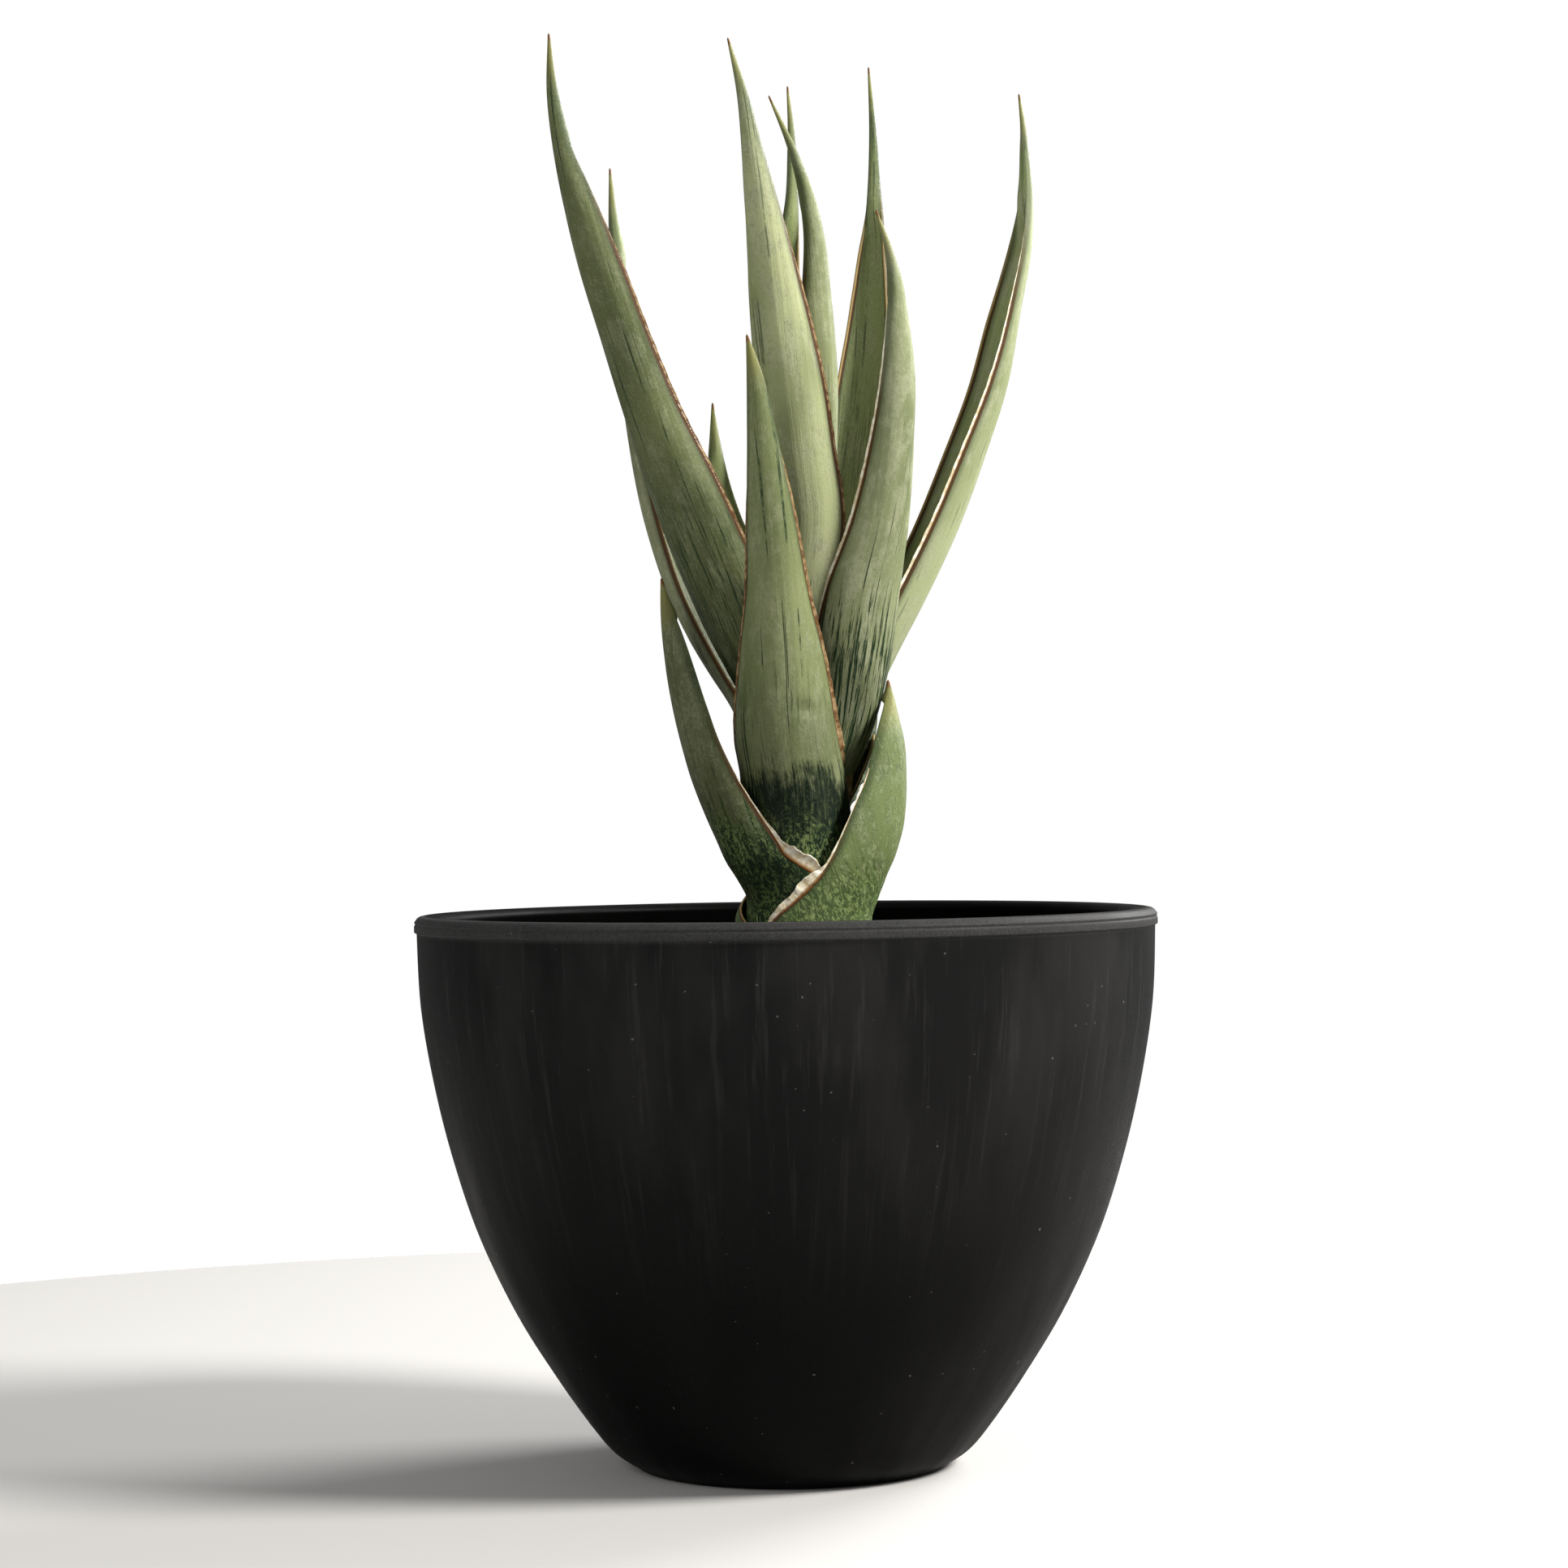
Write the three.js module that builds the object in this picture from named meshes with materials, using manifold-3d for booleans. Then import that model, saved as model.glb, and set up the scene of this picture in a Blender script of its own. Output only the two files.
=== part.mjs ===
// Potted snake plant with twelve channelled leaves in a black bowl planter.
// Millimetres, +Z up. The origin is the middle of the pot's foot, and the viewer stands at -Y.
import * as THREE from 'three';
import { mergeVertices } from 'three/addons/utils/BufferGeometryUtils.js';
import Module from 'manifold-3d';

const wasm = await Module();
wasm.setup();

// Pot
const POT_HEIGHT = 153;
const POT_SEGMENTS = 40;
const RIM_RADIUS = 102.9;
const RIM_BAND = 4.6;
const RIM_STEP = 0.7;
const RIM_GROOVE = 0.5;
const FOOT_RADIUS = 44;
const FOOT_ROUND = 1;
const FOOT_RECESS = 1.6;
const FOOT_RECESS_RADIUS = 36;
const FOOT_RECESS_CHAMFER = 1.2;
const DRAIN_RADIUS = 9;
const FLOOR_THICKNESS = 6;
const FLOOR_RADIUS = 41;
// The wall is this thick at the rim, and thicker by the second value at the foot
const WALL = 5;
const WALL_EXTRA = 1.4;
// Radius and height of the bowl's outer side, foot to rim band
const BOWL_SIDE = [
  [FOOT_RADIUS, 0.8], [50, 4.8], [56, 12], [65, 25], [76, 43],
  [86, 64.5], [93, 86], [98, 107], [101.3, 128], [RIM_RADIUS - RIM_STEP, POT_HEIGHT - RIM_BAND],
];
const BOWL_STEPS = 11;
// Heights of the wall's inner corners
const INNER_HEIGHTS = [16, 30, 56, 84, 112, 144];
// Rounded lip: distance in from the rim's outer side, and down from its top
const LIP = [[1.2, 0.2], [4.3, 0], [7.2, 0.4], [8.6, 1.8]];

// Potting mix
const SOIL_LEVEL = 138;
const SOIL_RINGS = 6;
const SOIL_GAP = 0.45;
const CLEARANCE = 0.3;
// Waves that add up to its lumps: height, and radians per mm in x and y
const SOIL_WAVES = [[0.6, 0.21, 0.09], [0.55, -0.12, 0.27], [0.45, 0.47, -0.31], [0.3, 0.11, 0.62]];
// Slight rise towards the plant, and how far out it reaches
const SOIL_RISE = 1.5;
const SOIL_RISE_REACH = 37;

// Underground stem and roots
const CROWN = { x: 5, y: 0 };
const STEM_TOP = 121.6;
const STEM_BOTTOM = 92;
const STEM_RADIUS = 16.5;
const STEM_SEGMENTS = 24;
// Share of the stem's radius, and height over its bottom, where it tapers below
const STEM_TAPER = [[0.6, 0], [0.95, 8], [1, 20]];
const ROOT_COUNT = 6;
const ROOT_RADIUS = 1.8;
const ROOT_SIDES = 5;
const ROOT_STEPS = 8;
// Mean run and fall of a root with how much they vary, its bend in radians, and its start over the bottom
const ROOT_REACH = [40, 9];
const ROOT_FALL = [52, 8];
const ROOT_BEND = 0.35;
const ROOT_START = 12;

// Leaves
const LEAF_BASE = 122;
const LEAF_GAP = 0.45;
const HOLE_RADIUS = 19.8;
const HOLE_SEGMENTS = 32;
const MARGIN_THICKNESS = 0.7;
// Height and midrib thickness, from the thin sheath up to the stiff blade
const MIDRIB = [[LEAF_BASE, 1.2], [150, 1.5], [180, 1.9], [210, 2.8], [240, 3.4]];
// Midrib thickness as a share of the channel's radius, its least value, and the channel's least share
const MIDRIB_SHARE = 0.36;
const MIDRIB_LEAST = 1.1;
const CHANNEL_LEAST = 0.25;
// Length over which the channel fills up to the solid spine, and how much of its front the skin spans
const MOUTH_LENGTH = 16;
const MOUTH_STEPS = 4;
const SPINE_FRONT = 0.85;
const TIP_RADIUS = 0.25;
const TIP_CONE = 2;
// Heights at which every leaf is cut, close together where the sheaths part
const LEVELS = [
  122, 136, 148, 151, 154, 157, 160, 163, 166, 170, 175, 181, 187, 194, 202, 210, 218, 226, 234,
  243, 258, 278, 298, 318, 338, 358, 378,
];
// Below this height only the two wide sheaths keep every cut
const DENSE_TOP = 172;
const RING_SPACING = 1.5;

// A leaf is an upright channel. Each station is a height, the middle of the arc there in x and y,
// its radius, the way its back faces and how far it wraps to each side, both in degrees.
// Above the mouth the channel is closed to a solid spine. The outermost leaf comes first.
const LEAVES = [
  {
    name: 'leaf_low_right', color: 0x95a372, samples: 17, dense: true,
    mouth: 212, mouthLength: 4, tip: [29.3, 0, 216.8],
    stations: [
      [122, 5, 0, 17.8, 50, 170], [150, 4.9, 0, 19.2, 47, 165], [156, 6.9, 0.3, 19.1, 36, 139],
      [162, 9.6, 0.4, 18.7, 24, 116], [168, 13.3, 0, 17.6, 12, 103], [176, 17.1, 0, 16.1, 1, 92],
      [183, 19.9, 0, 14.1, -3, 87], [190, 22.6, 0, 11.6, -4, 84], [200, 25.4, 0, 8.3, -5, 84],
      [207, 27.5, 0, 4.6, -5, 84], [212, 29.2, 0, 1.7, -5, 92],
    ],
  },
  {
    name: 'leaf_low_left', color: 0x6f7a55, samples: 15, dense: true,
    mouth: 238, mouthLength: 10, tip: [-33.1, -8, 245.5],
    stations: [
      [122, 5, 0, 17, -165, 150], [150, 4.9, -0.3, 18.2, -165, 148], [160, 3.1, -1, 17.7, -165, 112],
      [170, -1.3, -1, 16.8, -165, 77], [180, -7.5, -1.5, 14.8, -165, 77],
      [190, -13.7, -2.5, 12.2, -165, 78], [200, -18.4, -3.5, 10.2, -165, 78],
      [210, -21.8, -4.5, 9, -165, 78], [220, -25.1, -5.5, 7.3, -165, 80],
      [230, -28.6, -6.5, 4.7, -165, 85], [238, -31.8, -7.5, 1.7, -165, 90],
    ],
  },
  {
    name: 'leaf_front', color: 0x8d9a6f, samples: 9, mouth: 298, tip: [-8.4, -42, 308.2],
    stations: [
      [122, 5, 0, 15.9, -92, 125], [150, 4.9, 0, 17, -92, 122], [170, 3.8, -0.5, 16, -92, 112],
      [190, 2.4, -2.5, 14.8, -92, 97], [200, 0.9, -4.5, 14.4, -92, 90], [220, 0, -10, 12.3, -92, 84],
      [240, -1.1, -18, 8.9, -92, 80], [260, -2.7, -26, 6.8, -92, 80], [280, -4.5, -33, 4.4, -92, 82],
      [300, -6.8, -40, 1.8, -92, 88],
    ],
  },
  {
    name: 'leaf_back_short', color: 0x7f8f62, samples: 11, mouth: 288, tip: [-19.3, 45, 299.3],
    stations: [
      [122, 5, 0, 14.7, 110, 115], [150, 4.9, 0.2, 15.8, 108, 115], [175, 5.8, 3.5, 15.7, 102, 108],
      [188, 7.1, 6.2, 17.4, 97, 102], [199, 7.4, 8.6, 18.9, 94, 98], [206, 7, 11, 18.8, 97, 90],
      [212, 5.4, 13.6, 18.2, 100, 82], [222, -1, 19.5, 14, 107, 80], [235, -8, 26, 10.4, 110, 84],
      [250, -12, 32, 8.4, 110, 84], [270, -16.9, 39, 4.6, 110, 85], [290, -18.9, 43.5, 1.3, 110, 90],
    ],
  },
  {
    name: 'leaf_back_left', color: 0x71805a, samples: 9, mouth: 342, tip: [-47.2, 22, 363.9],
    stations: [
      [122, 5, 0, 13.5, 160, 108], [150, 4.8, 0, 14.6, 160, 108], [180, 2.8, 0.5, 14.4, 160, 98],
      [200, -1.3, 2, 13.6, 160, 84], [210, -4.6, 3, 12.6, 160, 76], [220, -10.4, 4.5, 11.6, 160, 74],
      [240, -21, 8, 10.5, 160, 74], [260, -28.3, 11, 9.6, 160, 76], [290, -35.4, 15, 8, 160, 80],
      [320, -41.2, 18.5, 5, 160, 84], [345, -46, 21, 1.7, 160, 90],
    ],
  },
  {
    name: 'leaf_front_right', color: 0x96a378, samples: 13, mouth: 324, tip: [26.9, -27, 343.4],
    stations: [
      [122, 5, 0, 12.3, -50, 105], [150, 5, 0.3, 13.2, -50, 105], [180, 7.2, 3.1, 11.8, -50, 77],
      [200, 12.8, 5.2, 12.9, -54, 66], [220, 16.6, 2.4, 13.4, -63, 69], [240, 20.6, -4, 12.2, -64, 72],
      [260, 26.2, -11, 9.3, -60, 78], [280, 29.8, -17, 7.1, -56, 82], [300, 32, -21.5, 5.3, -50, 86],
      [320, 32.1, -25, 2.6, -50, 92], [332, 30.4, -26.3, 1.2, -50, 95],
    ],
  },
  {
    name: 'leaf_right', color: 0xa3ad86, samples: 13, mouth: 356, tip: [69.2, 21, 383.3],
    stations: [
      [122, 5, 0, 11.1, 15, 105], [150, 5, 0.5, 11.9, 15, 105], [180, 7.2, 4, 11.4, 15, 98],
      [200, 11, 6.8, 11.6, 14, 94], [220, 19, 9, 11.8, 13, 92], [240, 30.3, 11, 10.8, 13, 92],
      [260, 40.6, 13, 10, 14, 94], [280, 49, 15, 9.2, 16, 93], [300, 56.8, 17, 8, 20, 92],
      [320, 62.4, 18.3, 6.3, 26, 90], [340, 67.9, 19.6, 4.4, 25, 92], [352, 70.3, 20.2, 2.5, 25, 96],
      [370, 70.4, 20.7, 1.05, 25, 96],
    ],
  },
  {
    name: 'leaf_front_left', color: 0x79835b, samples: 9, mouth: 366, tip: [-60.8, -33, 391.2],
    stations: [
      [122, 5, 0, 9.9, -125, 105], [150, 4.7, -0.5, 10.7, -130, 100], [180, 3, -0.8, 10.8, -140, 88],
      [200, 1, 0.2, 11, -142, 78], [215, -2.8, 0.8, 11.8, -135, 80], [230, -8.4, -1.6, 12.7, -128, 84],
      [250, -17.2, -8, 12.3, -125, 85], [270, -25.3, -13.5, 11.4, -126, 85],
      [290, -33.5, -18, 9.3, -128, 85], [310, -40.6, -22, 8, -130, 85],
      [330, -47.2, -25.5, 7.2, -132, 85], [350, -53.8, -28.5, 4.9, -135, 88],
      [360, -57.2, -30, 3, -135, 92], [375, -60, -31.7, 1.6, -135, 95],
    ],
  },
  {
    name: 'leaf_front_centre', color: 0x8c9869, samples: 9, mouth: 366, tip: [-12.6, -31, 389.8],
    stations: [
      [122, 5, 0, 8.7, -110, 105], [150, 4.6, -0.6, 9.2, -110, 96], [180, 3.4, 0.6, 8.6, -112, 84],
      [200, 3, 1.8, 8.8, -112, 78], [220, 4, 1.6, 10, -110, 80], [240, 5.6, -3.4, 11.4, -110, 80],
      [260, 7.8, -8.6, 11.8, -110, 78], [280, 5.6, -13, 11, -110, 80], [300, 3.2, -17, 10.1, -110, 80],
      [320, 0.3, -21, 8.2, -110, 80], [340, -2.8, -25, 5.7, -110, 82], [352, -4.9, -27, 4.1, -110, 88],
      [360, -6.3, -28.2, 3, -110, 92], [375, -8.9, -30, 1.5, -110, 95],
    ],
  },
  {
    name: 'leaf_back_right', color: 0x65754a, samples: 9, mouth: 358, tip: [27.1, 40, 395.2],
    stations: [
      [122, 5, 0, 7.4, 65, 105], [150, 5.5, 1.2, 7.9, 65, 100], [180, 7, 4.2, 8.2, 65, 95],
      [200, 8.5, 6.6, 8.6, 65, 90], [220, 11.5, 9.2, 9.3, 65, 88], [250, 15.7, 14, 9.9, 65, 85],
      [280, 20, 20.5, 9, 65, 85], [300, 23, 25, 8.2, 65, 85], [320, 25.4, 29.5, 6.5, 65, 85],
      [340, 27, 33.5, 4.3, 65, 88], [356, 28.2, 36.5, 2.2, 65, 92], [375, 28.1, 38.8, 1.1, 65, 95],
    ],
  },
  {
    name: 'leaf_inner_right', color: 0x8b9868, samples: 7, mouth: 350, tip: [-1.8, -12, 377.6],
    stations: [
      [122, 5, 0, 6, -40, 100], [150, 5.3, -0.6, 6.2, -40, 95], [180, 6, 0.8, 6, -40, 88],
      [200, 6.8, 2.4, 6.2, -40, 84], [220, 7.3, 2.6, 7.4, -40, 84], [250, 7.4, -0.6, 8.6, -40, 85],
      [280, 8, -4, 8.1, -40, 85], [300, 9.3, -6, 7.2, -40, 85], [320, 9.8, -8, 5.4, -42, 85],
      [340, 9.7, -9.7, 3.3, -45, 90], [350, 8.3, -10.4, 2.2, -45, 95], [362, 4.8, -11.2, 1.3, -45, 95],
    ],
  },
  {
    name: 'leaf_inner_back', color: 0x76865a, samples: 7, mouth: 354, tip: [3.6, 38, 389.6],
    stations: [
      [122, 5, 0.6, 4.8, 110, 90], [150, 4.6, 1.8, 4.9, 110, 88], [180, 4.4, 4, 5, 105, 86],
      [200, 4, 6, 5.4, 100, 86], [220, 3.6, 8, 6.4, 100, 86], [250, 3, 13, 7.3, 100, 86],
      [280, 1.5, 19.5, 7, 100, 85], [300, 1, 24, 6.5, 100, 85], [320, 1.3, 28.3, 5.5, 100, 85],
      [340, 2.9, 32, 3.6, 100, 88], [356, 4.4, 34.8, 1.9, 100, 92], [372, 4.6, 36.8, 1.2, 100, 95],
    ],
  },
];

// Vertices closer than this are one
const WELD = 1e-4;

const lerp = THREE.MathUtils.lerp;
const clamp = THREE.MathUtils.clamp;
const radians = THREE.MathUtils.degToRad;

// Straight lines between the pairs of a table
function tableValue(table, at) {
  for (let i = 1; i < table.length; i += 1) {
    const [x0, y0] = table[i - 1];
    const [x1, y1] = table[i];
    if (at <= x1) return lerp(y0, y1, clamp((at - x0) / (x1 - x0), 0, 1));
  }
  return table[table.length - 1][1];
}

// Smooth curve through the stations that never swings past them
function stationSlopes(stations) {
  const last = stations.length - 1;
  const steps = stations.slice(1).map((next, i) => {
    const length = next[0] - stations[i][0];
    return { length, slope: next.slice(1).map((value, k) => (value - stations[i][k + 1]) / length) };
  });
  return stations.map((station, i) => {
    if (i === 0) return steps[0].slope;
    if (i === last) return steps[last - 1].slope;
    const before = steps[i - 1];
    const after = steps[i];
    return before.slope.map((slope, k) => {
      if (slope * after.slope[k] <= 0) return 0;
      return (slope * after.length + after.slope[k] * before.length) / (before.length + after.length);
    });
  });
}

function leafAt(leaf, z) {
  const stations = leaf.curve;
  const top = stations.length - 2;
  let i = 0;
  while (i < top && z >= stations[i + 1][0]) i += 1;
  const length = stations[i + 1][0] - stations[i][0];
  const t = clamp((z - stations[i][0]) / length, 0, 1);
  const [x, y, radius, facing, wrap] = stations[i].slice(1).map((value, k) => (
    (2 * t ** 3 - 3 * t ** 2 + 1) * value
    + (t ** 3 - 2 * t ** 2 + t) * length * leaf.slopes[i][k]
    + (3 * t ** 2 - 2 * t ** 3) * stations[i + 1][k + 1]
    + (t ** 3 - t ** 2) * length * leaf.slopes[i + 1][k]
  ));
  return { x, y, radius, facing, wrap };
}

// Directions of the outer arc's points, from one margin to the other
function arcDirections(section, samples) {
  return Array.from({ length: samples }, (_, j) => {
    const across = (2 * j) / (samples - 1) - 1;
    const angle = radians(section.facing + across * section.wrap);
    return { across, x: Math.cos(angle), y: Math.sin(angle) };
  });
}

function bladeThickness(across, radius, z) {
  const middle = clamp(MIDRIB_SHARE * radius, MIDRIB_LEAST, tableValue(MIDRIB, z));
  return MARGIN_THICKNESS + (middle - MARGIN_THICKNESS) * (1 - across * across);
}

// One level cut of a leaf: its outer points, and its inner ones in the same order
function leafRing(leaf, z, radii) {
  const section = leafAt(leaf, z);
  const open = THREE.MathUtils.smoothstep(leaf.mouth - z, 0, leaf.mouthLength ?? MOUTH_LENGTH);
  const outer = [];
  const inner = [];
  arcDirections(section, leaf.samples).forEach((ray, j) => {
    const radius = radii[j];
    const depth = Math.max(radius - bladeThickness(ray.across, section.radius, z), CHANNEL_LEAST * radius);
    const front = radians(section.facing + 180 - SPINE_FRONT * ray.across * (180 - section.wrap));
    outer.push([section.x + radius * ray.x, section.y + radius * ray.y, z]);
    inner.push([
      section.x + lerp(section.radius * Math.cos(front), depth * ray.x, open),
      section.y + lerp(section.radius * Math.sin(front), depth * ray.y, open),
      z,
    ]);
  });
  return { outer, inner };
}

// Distance from a point along a ray to a closed outline
function distanceToOutline(from, ray, outline) {
  let nearest = Infinity;
  outline.forEach((start, i) => {
    const end = outline[(i + 1) % outline.length];
    const ex = end[0] - start[0];
    const ey = end[1] - start[1];
    const wx = start[0] - from.x;
    const wy = start[1] - from.y;
    const across = ray.x * ey - ray.y * ex;
    const along = (wx * ey - wy * ex) / across;
    const share = (wx * ray.y - wy * ray.x) / across;
    if (along > 0 && share >= 0 && share <= 1) nearest = Math.min(nearest, along);
  });
  return nearest;
}

// Radius of each ray at one level, held inside the leaves that wrap around this one
function pressedRadii(leaf, z, outlines) {
  const section = leafAt(leaf, z);
  const rays = arcDirections(section, leaf.samples);
  const beside = Math.cos(radians((2 * section.wrap) / (leaf.samples - 1)));
  return rays.map((ray) => {
    let radius = section.radius;
    outlines.forEach((outline) => {
      radius = Math.min(radius, distanceToOutline(section, ray, outline) - LEAF_GAP);
      outline.forEach(([px, py]) => {
        const distance = Math.hypot(px - section.x, py - section.y);
        const towards = ((px - section.x) * ray.x + (py - section.y) * ray.y) / distance;
        if (towards > beside) radius = Math.min(radius, distance - LEAF_GAP);
      });
    });
    return radius;
  });
}

// The most of each value and its neighbours, then their mean: no value falls
function easedUp(grid) {
  const around = (source, i, j) => {
    const values = [];
    for (let a = -1; a <= 1; a += 1) {
      const row = source[clamp(i + a, 0, source.length - 1)];
      for (let b = -1; b <= 1; b += 1) values.push(row[clamp(j + b, 0, row.length - 1)]);
    }
    return values;
  };
  const most = grid.map((row, i) => row.map((_, j) => Math.max(...around(grid, i, j))));
  return grid.map((row, i) => row.map((_, j) => {
    const values = around(most, i, j);
    return values.reduce((sum, value) => sum + value, 0) / values.length;
  }));
}

// How far each leaf is pressed in at each level, from the outermost leaf inwards
function pressLeaves(leaves) {
  const outlines = LEVELS.map(() => []);
  leaves.forEach((leaf) => {
    const [tipX, tipY, tipZ] = leaf.tip;
    const [, , , , facing, wrap] = leaf.stations[leaf.stations.length - 1];
    leaf.curve = [...leaf.stations, [tipZ, tipX, tipY, TIP_RADIUS, facing, wrap]];
    leaf.slopes = stationSlopes(leaf.curve);
    leaf.levels = LEVELS.filter((z) => z < tipZ - TIP_CONE);
    const nominal = leaf.levels.map((z) => leafAt(leaf, z).radius);
    leaf.press = easedUp(leaf.levels.map((z, i) => (
      pressedRadii(leaf, z, outlines[i]).map((radius) => nominal[i] - radius)
    )));
    leaf.levels.forEach((z, i) => {
      const ring = leafRing(leaf, z, leaf.press[i].map((value) => nominal[i] - value));
      outlines[i].push([...ring.outer, ...ring.inner.slice().reverse()]);
    });
  });
}

// Press of each ray at any height, between the levels
function pressAt(leaf, z) {
  const last = leaf.levels.length - 1;
  let i = 0;
  while (i < last - 1 && z > leaf.levels[i + 1]) i += 1;
  const t = clamp((z - leaf.levels[i]) / (leaf.levels[i + 1] - leaf.levels[i]), 0, 1);
  return leaf.press[i].map((value, j) => lerp(value, leaf.press[i + 1][j], t));
}

// Heights of a leaf's rings: its levels, some through the mouth, and the start of the pointed end
function ringHeights(leaf) {
  const length = leaf.mouthLength ?? MOUTH_LENGTH;
  const levels = leaf.levels.filter((z, i) => leaf.dense || z > DENSE_TOP || i % 2 === 0);
  const mouth = Array.from({ length: MOUTH_STEPS }, (_, i) => leaf.mouth - (length * i) / (MOUTH_STEPS - 1));
  const heights = [...levels, ...mouth, leaf.tip[2] - TIP_CONE].sort((a, b) => a - b);
  return heights.filter((z, i) => i === 0 || z - heights[i - 1] > RING_SPACING);
}

// A closed skin over a leaf's rings, split alike on both faces, with a pointed end
function leafGeometry(leaf) {
  const heights = ringHeights(leaf);
  const positions = [];
  heights.forEach((z) => {
    const { radius } = leafAt(leaf, z);
    const ring = leafRing(leaf, z, pressAt(leaf, z).map((value) => radius - value));
    positions.push(...ring.outer.flat(), ...ring.inner.flat());
  });
  positions.push(...leaf.tip);
  const n = leaf.samples;
  const ringSize = 2 * n;
  const index = [];
  const quad = (a, b, c, d) => index.push(a, b, c, a, c, d);
  for (let i = 0; i < heights.length - 1; i += 1) {
    const low = i * ringSize;
    const high = low + ringSize;
    for (let j = 0; j < n - 1; j += 1) {
      quad(low + j, low + j + 1, high + j + 1, high + j);
      index.push(low + n + j, high + n + j + 1, low + n + j + 1);
      index.push(low + n + j, high + n + j, high + n + j + 1);
    }
    quad(low + n, low, high, high + n);
    quad(low + n - 1, low + 2 * n - 1, high + 2 * n - 1, high + n - 1);
  }
  const top = (heights.length - 1) * ringSize;
  const tip = heights.length * ringSize;
  for (let j = 0; j < n - 1; j += 1) {
    quad(j, n + j, n + j + 1, j + 1);
    index.push(top + j, top + j + 1, tip);
    index.push(top + n + j + 1, top + n + j, tip);
  }
  index.push(top + n, top, tip);
  index.push(top + n - 1, top + 2 * n - 1, tip);
  return indexedGeometry(positions, index);
}

function indexedGeometry(positions, index) {
  const geometry = new THREE.BufferGeometry();
  geometry.setAttribute('position', new THREE.Float32BufferAttribute(positions, 3));
  geometry.setIndex(index);
  return geometry;
}

// Lathe turned so that its axis is +Z, from radius and height pairs
function turned(profile, segments) {
  const geometry = new THREE.LatheGeometry(profile.map(([r, z]) => new THREE.Vector2(r, z)), segments);
  geometry.rotateX(Math.PI / 2);
  return geometry;
}

// Inner side of the wall from the floor up to under the lip
function innerWall() {
  const outer = BOWL_SIDE.map(([r, z]) => [z, r]);
  const wall = INNER_HEIGHTS.map((z) => {
    const thickness = WALL + WALL_EXTRA * (1 - z / POT_HEIGHT);
    return [tableValue(outer, z) - thickness, z];
  });
  return [[FLOOR_RADIUS, FLOOR_THICKNESS], ...wall];
}

function potGeometry() {
  const side = new THREE.SplineCurve(BOWL_SIDE.map(([r, z]) => new THREE.Vector2(r, z)));
  const outer = side.getPoints(BOWL_STEPS).map((point) => [point.x, point.y]);
  const bandBottom = POT_HEIGHT - RIM_BAND;
  const bandMiddle = POT_HEIGHT - RIM_BAND / 2;
  const band = [
    [RIM_RADIUS, bandBottom],
    [RIM_RADIUS, bandMiddle - RIM_GROOVE],
    [RIM_RADIUS - RIM_GROOVE, bandMiddle],
    [RIM_RADIUS, bandMiddle + RIM_GROOVE],
  ];
  const lip = LIP.map(([inwards, down]) => [RIM_RADIUS - inwards, POT_HEIGHT - down]);
  const foot = [FOOT_RADIUS - FOOT_ROUND, 0];
  return turned([
    foot, ...outer, ...band, ...lip, ...innerWall().reverse(),
    [DRAIN_RADIUS, FLOOR_THICKNESS], [DRAIN_RADIUS, FOOT_RECESS],
    [FOOT_RECESS_RADIUS, FOOT_RECESS], [FOOT_RECESS_RADIUS + FOOT_RECESS_CHAMFER, 0], foot,
  ], POT_SEGMENTS);
}

// Low, uneven lumps of the mix's surface, and a slight rise towards the plant
function soilHeight(x, y) {
  const waves = SOIL_WAVES.map(([height, kx, ky], i) => height * Math.sin(kx * x + ky * y + i));
  const lumps = waves.reduce((sum, value) => sum + value, 0);
  const away = Math.hypot(x - CROWN.x, y - CROWN.y) / SOIL_RISE_REACH;
  return SOIL_LEVEL + lumps + SOIL_RISE * Math.exp(-(away ** 2));
}

function soilRadius(z) {
  return tableValue(innerWall().map(([r, height]) => [height, r]), z) - SOIL_GAP;
}

// The mix as one closed body: rings of points from the surface's middle down to the floor's
function soilGeometry() {
  const floor = FLOOR_THICKNESS + CLEARANCE;
  const edge = soilRadius(SOIL_LEVEL);
  const depths = [...INNER_HEIGHTS.filter((z) => z < SOIL_LEVEL).reverse(), floor];
  const positions = [0, 0, soilHeight(0, 0)];
  const ring = (radius, height) => {
    for (let j = 0; j < POT_SEGMENTS; j += 1) {
      const angle = (2 * Math.PI * j) / POT_SEGMENTS;
      const x = radius * Math.cos(angle);
      const y = radius * Math.sin(angle);
      positions.push(x, y, height(x, y));
    }
  };
  for (let i = 1; i <= SOIL_RINGS; i += 1) ring((edge * i) / SOIL_RINGS, soilHeight);
  depths.forEach((z) => ring(soilRadius(z), () => z));
  positions.push(0, 0, floor);
  const rings = SOIL_RINGS + depths.length;
  const last = 1 + (rings - 1) * POT_SEGMENTS;
  const bottom = last + POT_SEGMENTS;
  const index = [];
  for (let j = 0; j < POT_SEGMENTS; j += 1) {
    const k = (j + 1) % POT_SEGMENTS;
    index.push(0, 1 + j, 1 + k);
    for (let i = 0; i < rings - 1; i += 1) {
      const upper = 1 + i * POT_SEGMENTS;
      const lower = upper + POT_SEGMENTS;
      index.push(upper + j, lower + j, lower + k, upper + j, lower + k, upper + k);
    }
    index.push(last + j, bottom, last + k);
  }
  return indexedGeometry(positions, index);
}

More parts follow.
